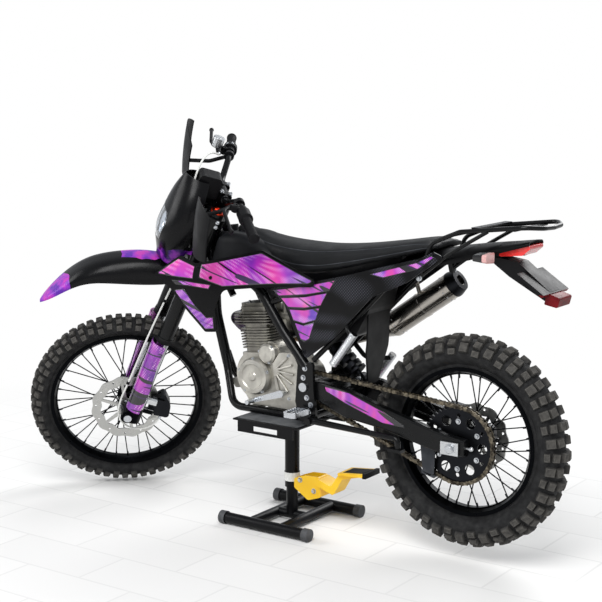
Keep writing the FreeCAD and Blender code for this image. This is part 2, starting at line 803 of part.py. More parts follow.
def ignition_cover():
    """The round generator cover on the left, stepped and domed."""
    dome = turned([(0, -COVER_Y), (64, -COVER_Y), (64, -COVER_Y - 16), (57, -COVER_Y - 28), (44, -COVER_Y - 31),
                   (40, -COVER_Y - 27), (16, -COVER_Y - 27), (12, -COVER_Y - 31), (0, -COVER_Y - 31)], CRANK_X, CRANK_Z)
    starter = turned([(0, -COVER_Y), (34, -COVER_Y), (34, -COVER_Y - 22), (27, -COVER_Y - 30), (0, -COVER_Y - 32)],
                     STARTER_X, STARTER_Z)
    return fuse([dome, starter])


def sprocket_cover():
    """The ribbed cover over the front sprocket, its ribs fanning out from the front."""
    low = CHAIN_Y - CHAIN_WIDTH / 2 - 7
    points = [(-22, 560, 12), (6, 602, 14), (60, 606, 14), (86, 560, 20), (88, 450, 16), (50, 442, 12), (-8, 476, 14)]
    plate = slab(points, low, -COVER_Y)
    ribs = []
    start = V(-14, low - 3, 540)
    for i in range(6):
        angle = math.radians(42 - 23 * i)
        end = start + V(math.cos(angle), 0, math.sin(angle)) * (74 + 3 * i)
        ribs.append(rod(start + (end - start) * 0.22, end, 4.0))
    body = fuse([plate] + ribs).common(slab(points, low - 8, -COVER_Y))
    generator = rod_y(CRANK_X, CRANK_Z, 64 + SEAT_GAP, -COVER_Y - 50, 0)
    starter = rod_y(STARTER_X, STARTER_Z, 34 + SEAT_GAP, -COVER_Y - 50, 0)
    pocket = chain_loop(CHAIN_HEIGHT / 2 + 4, low + 5, 0)
    return body.cut(Part.makeCompound([generator, starter, pocket]))


def engine_covers():
    """The covers of both sides, each seated on the crankcase."""
    return Part.makeCompound([ignition_cover(), sprocket_cover(), clutch_cover()])


def clutch_cover():
    clutch = turned([(0, COVER_Y), (78, COVER_Y), (78, COVER_Y + 20), (68, COVER_Y + 38), (40, COVER_Y + 44),
                     (0, COVER_Y + 44)], CLUTCH_X, CLUTCH_Z)
    crank_side = turned([(0, COVER_Y), (58, COVER_Y), (58, COVER_Y + 14), (50, COVER_Y + 24), (0, COVER_Y + 26)],
                        CRANK_X, CRANK_Z)
    body = fuse([clutch, crank_side])
    return body.cut(box(80, 160, 0, 200, 380, 640))


CARB_Y = -12.0
AIRBOX_FRONT = 190.0


def carburettor():
    start = intake_port(14)
    bore_end = V(start.x + 70, CARB_Y, start.z + 6)
    body = rod(start, bore_end, 22)
    float_bowl = Part.makeCylinder(24, 46, V(start.x + 36, CARB_Y / 2, start.z - 52), V(0, 0, 1))
    cap = Part.makeCylinder(20, 50, V(start.x + 36, CARB_Y / 2, start.z + 4), V(0, 0, 1))
    boot = tube([tuple(bore_end), (AIRBOX_FRONT - 90, -40, bore_end.z + 8), (AIRBOX_FRONT + 24, -50, bore_end.z + 28)],
                24, 60)
    return fuse([body, float_bowl, cap, boot]).cut(Part.makeCompound([airbox(), cylinder_head()]))


@lru_cache(None)
def airbox():
    points = [(AIRBOX_FRONT, 646, 10), (300, 690, 30), (352, 780, 20), (372, 868, 10), (AIRBOX_FRONT + 20, 838, 14)]
    return fuse([slab(points, -78, 78), mud_flap()])


HEADER_RADIUS = 17.0
HEADER_Y = 130.0
MUFFLER_START = V(262, 152, 664)
MUFFLER_END = V(545, 166, 864)


@lru_cache(None)
def exhaust_header():
    port = exhaust_port(18)
    front = exhaust_port(62)
    pipe = tube([
        tuple(port), (front.x - 6, 8, front.z - 10), (front.x - 12, 78, front.z - 64), (-185, HEADER_Y, 612),
        (60, HEADER_Y, 618), (172, 140, 634), tuple(MUFFLER_START),
    ], HEADER_RADIUS, 60)
    return pipe.cut(cylinder_head())


def muffler():
    along = (MUFFLER_END - MUFFLER_START).normalize()
    neck = MUFFLER_START + along * 52
    body = rod(neck, MUFFLER_END - along * 26, 43)
    front = cone(MUFFLER_START, neck, HEADER_RADIUS + 3, 43)
    back = cone(MUFFLER_END - along * 26, MUFFLER_END, 43, 34)
    mouth = rod(MUFFLER_END - along * 40, MUFFLER_END + along * 2, 17)
    strap = rod(neck + along * 130, V((neck + along * 130).x, RAIL_Y + 4, 905), 7)
    carried = Part.makeCompound([mouth, exhaust_header(), subframe()])
    return fuse([body, front, back, strap]).cut(carried)


# Rear suspension

ARM_INNER = 84.0
ARM_OUTER = 116.0
CROSS_X = 232.0


def arm_section(x, inner, outer, low, high):
    return outline([(inner, low, 7), (outer, low, 7), (outer, high, 7), (inner, high, 7)], "yz", x)


def swingarm():
    """Two tapered box arms, a cross brace behind the pivot and slotted axle plates."""
    right = loft([
        arm_section(PIVOT_X - 14, 58, 92, PIVOT_Z - 22, PIVOT_Z + 20),
        arm_section(PIVOT_X + 60, 66, 98, PIVOT_Z - 50, PIVOT_Z + 20),
        arm_section(CROSS_X + 60, ARM_INNER, ARM_OUTER, 424, 516),
        arm_section(430, ARM_INNER, ARM_OUTER, 408, 478),
        arm_section(REAR_AXLE_X - 62, ARM_INNER, ARM_OUTER, 366, 432),
        arm_section(REAR_AXLE_X + 44, ARM_INNER, ARM_OUTER, 362, 414),
    ], True)
    brace = slab([(PIVOT_X + 44, 460, 8), (CROSS_X + 20, 446, 12), (CROSS_X + 20, 506, 12), (PIVOT_X + 44, 512, 8)],
                 -80, 80)
    sleeve = rod_y(PIVOT_X, PIVOT_Z, 21, -92, 92)
    shock_x, shock_z = SHOCK_FOOT
    lug = slab([(shock_x - 44, 490), (shock_x - 6, 490), (shock_x + 14, shock_z, 8), (shock_x, shock_z + 14, 6),
                (shock_x - 14, shock_z + 12, 6)], SHOCK_Y - 22, SHOCK_Y + 22)
    arm = fuse([right, mirrored(right), brace, sleeve, lug])
    slot = slab([(REAR_AXLE_X - 22, REAR_AXLE_Z - AXLE_RADIUS, 9.9), (REAR_AXLE_X + 30, REAR_AXLE_Z - AXLE_RADIUS, 9.9),
                 (REAR_AXLE_X + 30, REAR_AXLE_Z + AXLE_RADIUS, 9.9), (REAR_AXLE_X - 22, REAR_AXLE_Z + AXLE_RADIUS, 9.9)],
                -200, 200)
    pivot = rod_y(PIVOT_X, PIVOT_Z, PIVOT_RADIUS, -200, 200)
    eye = rod_y(shock_x, shock_z, 19, SHOCK_Y - 13, SHOCK_Y + 13)
    bolt = rod_y(shock_x, shock_z, 6, SHOCK_Y - 30, SHOCK_Y + 30)
    return arm.cut(Part.makeCompound([slot, pivot, eye, bolt]))


def shock_absorber():
    """A coil-over shock: body, spring turns as rings, rod and two eyes."""
    top = V(SHOCK_TOP[0], SHOCK_Y, SHOCK_TOP[1])
    foot = V(SHOCK_FOOT[0], SHOCK_Y, SHOCK_FOOT[1])
    along = (foot - top).normalize()
    length = top.distanceToPoint(foot)
    parts = [
        rod_y(top.x, top.z, 17, SHOCK_Y - 12, SHOCK_Y + 12),
        rod_y(foot.x, foot.z, 17, SHOCK_Y - 12, SHOCK_Y + 12),
        rod(top + along * 30, top + along * (length * 0.55), 21),
        rod(top + along * 7, foot - along * 6, 10),
        rod(top + along * 32, top + along * 38, 34),
        rod(foot - along * 34, foot - along * 26, 34),
    ]
    turns = 7
    start = 38.0
    pitch = (length - 2 * start) / turns
    for i in range(turns):
        centre = top + along * (start + pitch * (i + 0.5))
        parts.append(rod(centre - along * (pitch * 0.3), centre + along * (pitch * 0.3), 31))
    body = fuse(parts)
    pins = rod_y(top.x, top.z, 6, SHOCK_Y - 20, SHOCK_Y + 20).fuse(rod_y(foot.x, foot.z, 6, SHOCK_Y - 20, SHOCK_Y + 20))
    return body.cut(pins)


def bolt_y(x, z, radius, low, high, head, head_height):
    """A through bolt along Y with a round head at the left and a nut at the right."""
    return fuse([rod_y(x, z, radius, low, high), rod_y(x, z, head, low - head_height, low),
                 rod_y(x, z, head, high, high + head_height)])


def pivot_bolts():
    outer = PLATE_INNER + PLATE_THICKNESS
    pivot = bolt_y(PIVOT_X, PIVOT_Z, PIVOT_RADIUS, -outer, outer, 15, 8)
    shock_top = bolt_y(SHOCK_TOP[0], SHOCK_TOP[1], 6, SHOCK_Y - 24, SHOCK_Y + 24, 9, 6)
    shock_foot = bolt_y(SHOCK_FOOT[0], SHOCK_FOOT[1], 6, SHOCK_Y - 22, SHOCK_Y + 22, 9, 6)
    return Part.makeCompound([pivot, shock_top, shock_foot])


def rear_axle():
    """The rear axle with its spacers, adjuster blocks and nut."""
    parts = [rod_y(REAR_AXLE_X, REAR_AXLE_Z, AXLE_RADIUS, -ARM_OUTER - 20, ARM_OUTER + 14)]
    left_hub = -CHAIN_Y - SPROCKET_THICKNESS / 2
    spacer = turned([(AXLE_RADIUS - 1, -ARM_INNER), (18, -ARM_INNER), (18, -left_hub - SPACER_GAP),
                     (AXLE_RADIUS - 1, -left_hub - SPACER_GAP)], REAR_AXLE_X, REAR_AXLE_Z)
    right_hub = REAR_DISC_Y - DISC_THICKNESS / 2
    other = turned([(AXLE_RADIUS - 1, right_hub + SPACER_GAP), (12.5, right_hub + SPACER_GAP), (12.5, ARM_INNER),
                    (AXLE_RADIUS - 1, ARM_INNER)], REAR_AXLE_X, REAR_AXLE_Z)
    parts += [spacer, other]
    for side in (LEFT, RIGHT):
        low = side * ARM_OUTER if side == RIGHT else -ARM_OUTER - 8
        block = slab([(REAR_AXLE_X - 30, REAR_AXLE_Z - 20, 3), (REAR_AXLE_X + 26, REAR_AXLE_Z - 20, 3),
                      (REAR_AXLE_X + 26, REAR_AXLE_Z + 20, 3), (REAR_AXLE_X - 30, REAR_AXLE_Z + 20, 3)], low, low + 8)
        parts.append(block)
        nut_low = low - 6 if side == LEFT else low + 8
        parts.append(rod_y(REAR_AXLE_X, REAR_AXLE_Z, 16, nut_low, nut_low + 6))
    return fuse(parts)


def rear_caliper():
    """A single-piston caliper over the disc, on a bracket along the right arm."""
    cx, cz = REAR_AXLE_X - 84, REAR_AXLE_Z + 66
    body = slab([(cx - 34, cz - 20, 8), (cx + 26, cz - 12, 8), (cx + 34, cz + 26, 10), (cx - 26, cz + 34, 12)],
                REAR_DISC_Y - 14, ARM_INNER - 2)
    bracket = slab([(cx - 20, cz - 26, 6), (cx + 30, cz - 40, 8), (REAR_AXLE_X - 4, REAR_AXLE_Z - 16, 6),
                    (REAR_AXLE_X + 14, REAR_AXLE_Z + 10, 10), (cx + 34, cz + 10, 8)], REAR_DISC_Y + 10, ARM_INNER - 0.2)
    disc_room = rod_y(REAR_AXLE_X, REAR_AXLE_Z, REAR_DISC_RADIUS + MOVING_GAP,
                      REAR_DISC_Y - DISC_THICKNESS / 2 - DISC_GAP, REAR_DISC_Y + DISC_THICKNESS / 2 + DISC_GAP)
    axle_room = rod_y(REAR_AXLE_X, REAR_AXLE_Z, 12.5, 0, 200)
    return fuse([body, bracket]).cut(Part.makeCompound([disc_room, axle_room]))


# Tank, seat and body panels

TANK_HALF = 118.0
SHROUD_WALL = 3.5
PANEL_WALL = 3.5


@lru_cache(None)
def tank_form():
    return loft([
        rounded_ring(-322, 40, 46, 872, 962, 22),
        rounded_ring(-270, 84, 96, 836, 984, 30),
        rounded_ring(-190, 104, TANK_HALF, 812, 992, 36),
        rounded_ring(-110, 98, TANK_HALF, 812, 980, 36),
        rounded_ring(-20, 74, TANK_HALF - 6, 842, 934, 30),
        rounded_ring(60, 60, 100, 856, 886, 12),
    ])


def tunnel_under_tank():
    """Room for the frame and seat rails, which the tank straddles."""
    head_end = axis_point(HEAD_LOW + 90)
    middle = tube([(head_end.x - 60, 0, head_end.z), (-250, 0, 862), (-75, 0, 812), (100, 0, 770)], 44, 100)
    return Part.makeCompound([
        middle, frame_spar(LEFT), frame_spar(RIGHT), subframe(),
        rod(axis_point(HEAD_LOW + 40), V(-250, 0, 760), 12),
        rod(V(-250, -SPAR_Y + 8, 872), V(-250, SPAR_Y - 8, 872), 12),
        rod(axis_point(HEAD_LOW), axis_point(HEAD_HIGH), HEAD_RADIUS + 1),
    ])


def fork_sweep():
    """Where the fork legs swing beside the head, from stop to stop."""
    reach = math.hypot(FORK_LEAD, FORK_Y)
    outer = reach + TUBE_RADIUS + MOVING_GAP
    inner = reach - TUBE_RADIUS - MOVING_GAP
    low, high = LOWER_CLAMP, UPPER_CLAMP + UPPER_CLAMP_HEIGHT
    ring = Part.makeCylinder(outer, high - low, V(0, 0, low)).cut(Part.makeCylinder(inner, high - low, V(0, 0, low)))
    wedge = slab([(0, 0), (200, -150), (200, 150)], low, high, "xy")
    return on_head(ring.cut(wedge))


@lru_cache(None)
def fuel_tank():
    cap = rod(V(-256, 0, 956), V(-263, 0, 1006), 29)
    return fuse([tank_form().cut(Part.makeCompound([tunnel_under_tank(), fork_sweep()])), cap])


SEAT_STATIONS = [
    (-204, 36, 960, 1014, 8), (-120, 60, 926, 988, 10), (-40, 84, 900, 968, 12), (60, 110, 876, 957, 14),
    (170, 122, 880, 956, 14), (290, 126, 908, 968, 12), (420, 122, 944, 987, 12), (540, 112, 978, 1008, 10),
    (598, 92, 994, 1010, 8),
]


@lru_cache(None)
def seat():
    form = loft([crowned_ring(x, half, low, high, crown) for x, half, low, high, crown in SEAT_STATIONS])
    cut = form.cut(Part.makeCompound([tank_form(), fuel_tank(), subframe()]))
    return max(cut.Solids, key=lambda solid: solid.Volume)


OUTSIDE = -90.0
SHROUD_STATIONS = [
    (-430, [(-196, 600), (-208, 720), (-216, 830), (-206, 900), (-186, 960)]),
    (-330, [(-186, 600), (-200, 720), (-212, 830), (-196, 900), (-166, 960)]),
    (-200, [(-168, 600), (-184, 720), (-200, 830), (-178, 900), (-140, 960)]),
    (-60, [(-150, 600), (-160, 720), (-170, 830), (-152, 900), (-124, 960)]),
    (90, [(-140, 600), (-146, 720), (-152, 830), (-146, 900), (-132, 960)]),
    (220, [(-140, 600), (-146, 720), (-152, 830), (-150, 900), (-142, 960)]),
]


def curved_wall(stations, thickness):
    """A panel's wall through its stations, or the space outside it where the thickness is negative."""
    return loft([shell_section(x, points, thickness) for x, points in stations])


SHROUD_OUTLINE = [
    (-424, 848, 6), (-330, 915, 14), (-262, 892, 30), (-206, 906, 30), (-32, 948, 20), (206, 866, 12),
    (176, 846, 6), (10, 832, 40), (-150, 812, 30), (-186, 742, 20), (-192, 664, 10), (-236, 660, 12),
    (-300, 736, 30), (-352, 800, 20),
]


@lru_cache(None)
def shroud(side):
    """A shroud: its wall cut to the outline, with bosses to the tank."""
    skin = curved_wall(SHROUD_STATIONS, SHROUD_WALL).common(slab(SHROUD_OUTLINE, -260, -100))
    bosses = Part.makeCompound([rod_y(-215, 876, 9, -210, -60), rod_y(-50, 884, 9, -210, -60)])
    bosses = bosses.cut(Part.makeCompound([tank_form(), curved_wall(SHROUD_STATIONS, OUTSIDE)]))
    body = fuse([skin] + bosses.Solids)
    return body if side == LEFT else mirrored(body)


PANEL_STATIONS = [
    (-40, [(-124, 580), (-130, 700), (-136, 820), (-134, 930), (-128, 1010)]),
    (120, [(-126, 580), (-134, 700), (-142, 820), (-138, 930), (-130, 1010)]),
    (320, [(-118, 580), (-132, 700), (-146, 820), (-142, 930), (-134, 1010)]),
    (520, [(-104, 580), (-120, 700), (-136, 820), (-136, 930), (-128, 1010)]),
    (680, [(-92, 580), (-104, 700), (-116, 820), (-118, 930), (-110, 1010)]),
]


PANEL_OUTLINE = [
    (-8, 822, 8), (150, 856, 10), (296, 892, 20), (430, 930, 20), (560, 966, 12), (606, 990, 6), (640, 976, 6),
    (520, 888, 20), (402, 834, 20), (262, 692, 16), (142, 604, 10), (122, 640, 10), (60, 786, 10),
]


@lru_cache(None)
def side_panel(side):
    """A side panel: its wall cut to the outline, with bosses to the seat rail."""
    skin = curved_wall(PANEL_STATIONS, PANEL_WALL).common(slab(PANEL_OUTLINE, -240, -70))
    bosses = []
    for x in (230, 440):
        bosses.append(rod_y(x, rail_height(x), 8, -170, -RAIL_Y))
    rail = tube([(x, -RAIL_Y, z) for x, z in RAIL_PATH], RAIL_RADIUS, 200)
    bosses = Part.makeCompound(bosses).cut(Part.makeCompound([rail, curved_wall(PANEL_STATIONS, OUTSIDE)]))
    body = fuse([skin] + bosses.Solids)
    if side == LEFT:
        return body
    heat_gap = slab([(-60, 560), (-60, 664), (110, 676), (230, 716), (600, 977), (760, 977), (760, 560)], 60, 260)
    kept = mirrored(body).cut(heat_gap)
    return max(kept.Solids, key=lambda solid: solid.Volume)


def fender_section(x, half, top, drop, wall=3.0):
    """An inverted trough: crowned top, rolled sides."""
    outer = [V(x, -half, top - drop), V(x, -0.94 * half, top - 0.42 * drop), V(x, -0.62 * half, top - 0.08 * drop - 1),
             V(x, 0, top), V(x, 0.62 * half, top - 0.08 * drop - 1), V(x, 0.94 * half, top - 0.42 * drop),
             V(x, half, top - drop)]
    share = (half - wall) / half
    inner = [V(x, p.y * share, p.z - wall) for p in outer]
    inner[0] = V(x, -half + wall, top - drop)
    inner[-1] = V(x, half - wall, top - drop)
    front = Part.BSplineCurve()
    front.interpolate(outer)
    back = Part.BSplineCurve()
    back.interpolate(inner[::-1])
    return Part.Wire([
        front.toShape(), Part.LineSegment(outer[-1], inner[-1]).toShape(),
        back.toShape(), Part.LineSegment(inner[0], outer[0]).toShape(),
    ])


FENDER_STATIONS = [
    (392, 82, 930, 46), (500, 92, 966, 54), (600, 92, 992, 52), (700, 84, 1010, 44), (800, 70, 1024, 30),
    (888, 50, 1036, 16),
]


@lru_cache(None)
def rear_fender():
    """The tail: starts under the seat and ends in a narrow lip over the lamp."""
    form = loft([fender_section(*station) for station in FENDER_STATIONS])
    seat_space = loft([crowned_ring(x, half, low, high, crown) for x, half, low, high, crown in SEAT_STATIONS])
    return form.cut(Part.makeCompound([seat_space, subframe()]))


@lru_cache(None)
def above_fender():
    """The space above the tail's inner face, to trim what hangs under it."""
    wires = []
    for x, half, top, drop in FENDER_STATIONS:
        low = top - drop
        share = (half - 3.0) / half
        inner = [V(x, -half + 3, low), V(x, -0.94 * half * share, top - 0.42 * drop - 3),
                 V(x, -0.62 * half * share, top - 0.08 * drop - 4), V(x, 0, top - 3),
                 V(x, 0.62 * half * share, top - 0.08 * drop - 4), V(x, 0.94 * half * share, top - 0.42 * drop - 3),
                 V(x, half - 3, low)]
        curve = Part.BSplineCurve()
        curve.interpolate(inner)
        high_left, high_right = V(x, -half + 3, top + 200), V(x, half - 3, top + 200)
        wires.append(Part.Wire([
            curve.toShape(), Part.LineSegment(inner[-1], high_right).toShape(),
            Part.LineSegment(high_right, high_left).toShape(), Part.LineSegment(high_left, inner[0]).toShape(),
        ]))
    return loft(wires)


@lru_cache(None)
def tail_light():
    points = [(788, 982, 5), (866, 990, 8), (894, 1014, 8), (884, 1022, 5), (792, 1008, 5)]
    lamp = slab(points, -46, 46)
    stem = box(800, 830, -20, 20, 1000, 1040)
    return fuse([lamp, stem]).cut(above_fender())


HANGER = [(736, 978, 8), (786, 976, 6), (846, 968, 14), (958, 884, 8), (942, 856, 8), (818, 922, 30)]


def plate_hanger():
    blade = slab(HANGER, -34, 34)
    post = box(744, 784, -26, 26, 960, 1016)
    plate = slab([(866, 936), (870, 942), (958, 884), (952, 876)], -88, 88)
    reflector = slab([(938, 850, 4), (982, 842, 6), (990, 872, 6), (950, 884, 4)], -42, 42)
    return fuse([blade, post, plate, reflector]).cut(Part.makeCompound([above_fender(), tail_light()]))


def turn_signals():
    stalk = rod(V(764, -60, 982), V(770, -112, 984), 6)
    lamp = loft([outline([(-98, 972, 6), (-98, 998, 6), (-150, 994, 6), (-150, 976, 6)], "yz", 754),
                 outline([(-98, 968, 8), (-98, 1002, 8), (-152, 998, 8), (-152, 972, 8)], "yz", 800)])
    body = fuse([stalk, lamp]).cut(rear_fender())
    return pair(max(body.Solids, key=lambda solid: solid.Volume))


def rear_lamps():
    """The tail lamp and both turn signals."""
    return Part.makeCompound([tail_light(), turn_signals()])


RACK_RADIUS = 7.0
RACK_Y = 112.0
RACK_DECK = 1072.0
RACK_HOLES_X = 800.0
RACK_SPACING_X = 120.0
RACK_SPACING_Y = 140.0
RACK_HOLE = 3.3


def luggage_rack():
    """A tubular rack over the tail on two struts each side."""
    parts = []
    for side in (LEFT, RIGHT):
        y = side * RACK_Y
        rail = tube([(548, side * 102, 896), (590, y, 1014), (690, y, 1056), (905, y, 1082), (940, side * 60, 1078),
                     (944, 0, 1076)], RACK_RADIUS, 40)
        strut = tube([(556, side * 102, 912), (650, y, 984), (782, y, 1062)], RACK_RADIUS - 1, 60)
        parts += [rail, strut]
    parts.append(rod(V(660, -RACK_Y, 1044), V(660, RACK_Y, 1044), RACK_RADIUS - 1))
    holes = []
    for x in (RACK_HOLES_X - RACK_SPACING_X / 2, RACK_HOLES_X + RACK_SPACING_X / 2):
        parts.append(box(x - 12, x + 12, -RACK_Y, RACK_Y, RACK_DECK - 4, RACK_DECK))
        for y in (-RACK_SPACING_Y / 2, RACK_SPACING_Y / 2):
            holes.append(Part.makeCylinder(RACK_HOLE, 30, V(x, y, RACK_DECK - 15)))
    foot = rod(V(548, -102, 900), V(548, -84, 944), 8)
    parts += [foot, mirrored(foot)]
    rack = fuse(parts)
    return rack.cut(Part.makeCompound([subframe(), rear_fender(), seat()] + holes))


def mud_flap():
    """A thin curved sheet ahead of the rear wheel, tapering to its tip."""
    sheet = slab([(338, 800), (344, 800), (340, 660, 200), (322, 524), (316, 524), (334, 660, 200)], -80, 80)
    front = slab([(-66, 820), (66, 820), (66, 640, 30), (30, 524, 16), (-30, 524, 16), (-66, 640, 30)], 200, 400, "yz")
    return sheet.common(front)


# Foot controls, pegs and the side stand

PEG_X = 132.0
PEG_Z = 434.0
PEG_INNER = 116.0
PEG_OUTER = 214.0


def footpegs():
    """Open toothed pegs on brackets outside the pivot plates."""
    outer = slab([(PEG_X - 26, PEG_INNER + 10, 8), (PEG_X + 26, PEG_INNER + 10, 8), (PEG_X + 24, PEG_OUTER, 14),
                  (PEG_X - 24, PEG_OUTER, 14)], PEG_Z - 12, PEG_Z + 6, "xy")
    inner = slab([(PEG_X - 19, PEG_INNER + 18, 6), (PEG_X + 19, PEG_INNER + 18, 6), (PEG_X + 17, PEG_OUTER - 7, 9),
                  (PEG_X - 17, PEG_OUTER - 7, 9)], PEG_Z - 14, PEG_Z + 10, "xy")
    rib = box(PEG_X - 3, PEG_X + 3, PEG_INNER + 12, PEG_OUTER - 3, PEG_Z - 12, PEG_Z + 4)
    ring = fuse([outer.cut(inner), rib])
    notches = []
    for i in range(6):
        y = PEG_INNER + 24 + i * 13
        notch = slab([(y, PEG_Z + 8), (y + 4, PEG_Z + 1), (y + 8, PEG_Z + 8)], PEG_X - 40, PEG_X + 40, "yz")
        notches.append(notch)
    arm = box(PEG_X - 12, PEG_X + 12, PLATE_INNER + PLATE_THICKNESS, PEG_INNER + 14, PEG_Z - 14, PEG_Z + 4)
    return pair(fuse([ring.cut(Part.makeCompound(notches)), arm]))


SHIFT_X = 26.0
SHIFT_Z = 468.0


def foot_levers():
    """The gear lever and the rear brake pedal."""
    return Part.makeCompound([shift_lever(), brake_pedal()])


def shift_lever():
    """The gear lever on its shaft, with a folding rubber toe piece."""
    y = -COVER_Y - 50
    shaft = rod_y(SHIFT_X, SHIFT_Z, 6, y, CHAIN_Y - CHAIN_WIDTH / 2 - 7)
    arm = link(SHIFT_X, SHIFT_Z, 12, -84, 432, 7, y, y + 9)
    toe = rod_y(-84, 432, 8, y - 38, y + 2)
    return fuse([shaft, arm, toe])


def brake_pedal():
    """The rear brake pedal: pivot behind the right peg, arm forward to a toothed tip."""
    y = PLATE_INNER + PLATE_THICKNESS
    shaft = rod_y(112, 404, 9, y, y + 22)
    arm = tube([(112, y + 14, 404), (40, y + 16, 396), (-40, y + 22, 428), (-92, y + 26, 444)], 6.5, 60)
    pad = box(-112, -78, y + 12, y + 44, 440, 450)
    return fuse([shaft, arm, pad])


def passenger_pegs():
    """Fixed tube brackets with folded pegs: the right one passes under the exhaust."""
    left = fuse([tube([(300, -RAIL_Y - 8, 745), (304, -138, 728), (330, -146, 700)], 8, 30),
                 rod(V(342, -150, 712), V(262, -150, 604), 12)])
    right = fuse([tube([(184, RAIL_Y + 8, 630), (226, RAIL_Y + 14, 584), (262, 128, 578), (300, 146, 582)], 8, 30),
                  rod(V(306, 152, 594), V(226, 152, 486), 12)])
    pegs = []
    for peg, panel in ((left, side_panel(LEFT)), (right, side_panel(RIGHT))):
        fitted = peg.cut(Part.makeCompound([subframe(), panel]))
        pegs.append(max(fitted.Solids, key=lambda solid: solid.Volume))
    return Part.makeCompound(pegs)


STAND_EYE_HALF = 11.7
STAND_PIVOT = V(162, -PLATE_INNER - PLATE_THICKNESS - 8 - SEAT_GAP - STAND_EYE_HALF, 402)
STAND_ANGLE = 2.0
STAND_LENGTH = 338.0


def side_stand():
    """The folded side stand: an eye at its pivot, a long bar, and a hooked foot."""
    eye = rod_y(0, 0, 15, -STAND_EYE_HALF, STAND_EYE_HALF)
    bar = cone(V(8, 0, 0), V(STAND_LENGTH - 26, 0, 0), 11, 9)
    foot = tube([(STAND_LENGTH - 40, 0, 0), (STAND_LENGTH - 6, 0, 0), (STAND_LENGTH - 4, 0, -34)], 9, 20)
    shoe = box(STAND_LENGTH - 34, STAND_LENGTH + 14, -14, 14, -42, -32)
    body = fuse([eye, bar, foot, shoe]).cut(rod_y(0, 0, 6 + RUNNING_FIT, -20, 20))
    body.rotate(V(0, 0, 0), V(0, 1, 0), STAND_ANGLE)
    body.translate(STAND_PIVOT)
    return body


def stand_bracket():
    """The ear and bolt that carry the side stand."""
    plate = -PLATE_INNER - PLATE_THICKNESS
    outer = STAND_PIVOT.y - STAND_EYE_HALF - SEAT_GAP
    ear = slab([(134, 390, 6), (180, 386, 8), (180, 414, 10), (134, 417, 6)], plate - 8, plate)
    bolt = rod_y(STAND_PIVOT.x, STAND_PIVOT.z, 6, outer, plate - 8)
    cap = rod_y(STAND_PIVOT.x, STAND_PIVOT.z, 11, outer - 7, outer)
    return fuse([ear, bolt, cap])


# Steering: drawn in the steering frame

@lru_cache(None)
def triple_clamps():
    """Both clamps, joined by the steering stem."""
    def clamp(low, height, leg):
        shapes = [
            Part.makeCylinder(34, height, V(0, 0, low)),
            box(FORK_X - 24, 20, -FORK_Y, FORK_Y, low + 4, low + height - 4),
        ]
        for side in (LEFT, RIGHT):
            shapes.append(Part.makeCylinder(leg, height, V(FORK_X, side * FORK_Y, low)))
        return fuse(shapes)

    lower = clamp(LOWER_CLAMP, LOWER_CLAMP_HEIGHT, TUBE_RADIUS + 11)
    upper = clamp(UPPER_CLAMP, UPPER_CLAMP_HEIGHT, TUBE_RADIUS + 10)
    stem = Part.makeCylinder(STEM_RADIUS, UPPER_CLAMP + UPPER_CLAMP_HEIGHT + 8 - LOWER_CLAMP, V(0, 0, LOWER_CLAMP))
    body = fuse([lower, upper, stem])
    holes = []
    for side in (LEFT, RIGHT):
        holes.append(Part.makeCylinder(TUBE_RADIUS, 400, V(FORK_X, side * FORK_Y, 560)))
    return steered(body.cut(Part.makeCompound(holes)))


def fork_tubes():
    legs = []
    for side in (LEFT, RIGHT):
        tube_part = Part.makeCylinder(TUBE_RADIUS, TUBE_HIGH - TUBE_LOW, V(FORK_X, side * FORK_Y, TUBE_LOW))
        ring = Part.makeCylinder(TUBE_RADIUS + 2, 14, V(FORK_X, side * FORK_Y, TUBE_LOW))
        cap = Part.makeCylinder(17, 8, V(FORK_X, side * FORK_Y, TUBE_HIGH))
        legs.append(fuse([tube_part, ring, cap]))
    return steered(Part.makeCompound(legs))


@lru_cache(None)
def fork_slider_legs():
    """Sliders with their cast feet, bored for the axle, in the steering frame."""
    legs = []
    for side in (LEFT, RIGHT):
        y = side * FORK_Y
        slider = Part.makeCylinder(SLIDER_RADIUS, TUBE_LOW - 60, V(FORK_X, y, 60))
        foot = Part.makeCylinder(LUG_RADIUS - 2, 104, V(FORK_X, y, -20))
        lug = rod_y(AXLE_X, 0, AXLE_LUG_RADIUS, y - 27, y + 27)
        web = box(AXLE_X, FORK_X, y - 15, y + 15, -20, 40)
        legs.append(fuse([slider, foot, lug, web]).cut(rod_y(AXLE_X, 0, AXLE_RADIUS, y - 60, y + 60)))
    ears = []
    for s in (34, 74):
        ears.append(box(FORK_X + 10, FORK_X + 62, -FORK_Y - 8, -FORK_Y + 8, s - 9, s + 9))
    legs[0] = fuse([legs[0]] + ears)
    return Part.makeCompound(legs)


def fork_sliders():
    return steered(fork_slider_legs())


def front_axle():
    """The front axle, its nut, pinch spacer and the wheel's spacers."""
    shaft = rod_y(AXLE_X, 0, AXLE_RADIUS, -FORK_Y - 34, FORK_Y + 30)
    left = rod_y(AXLE_X, 0, 15, -FORK_Y + 27, FRONT_DISC_Y - DISC_THICKNESS / 2 - SPACER_GAP)
    right = rod_y(AXLE_X, 0, 15, HUB_END + SPACER_GAP, FORK_Y - 27)
    nut = rod_y(AXLE_X, 0, 14, -FORK_Y - 38, -FORK_Y - 27)
    return steered(fuse([shaft, left, right, nut]))


GUARD_LOW = AXLE_LUG_RADIUS + 5.0
GUARD_HIGH = 318.0


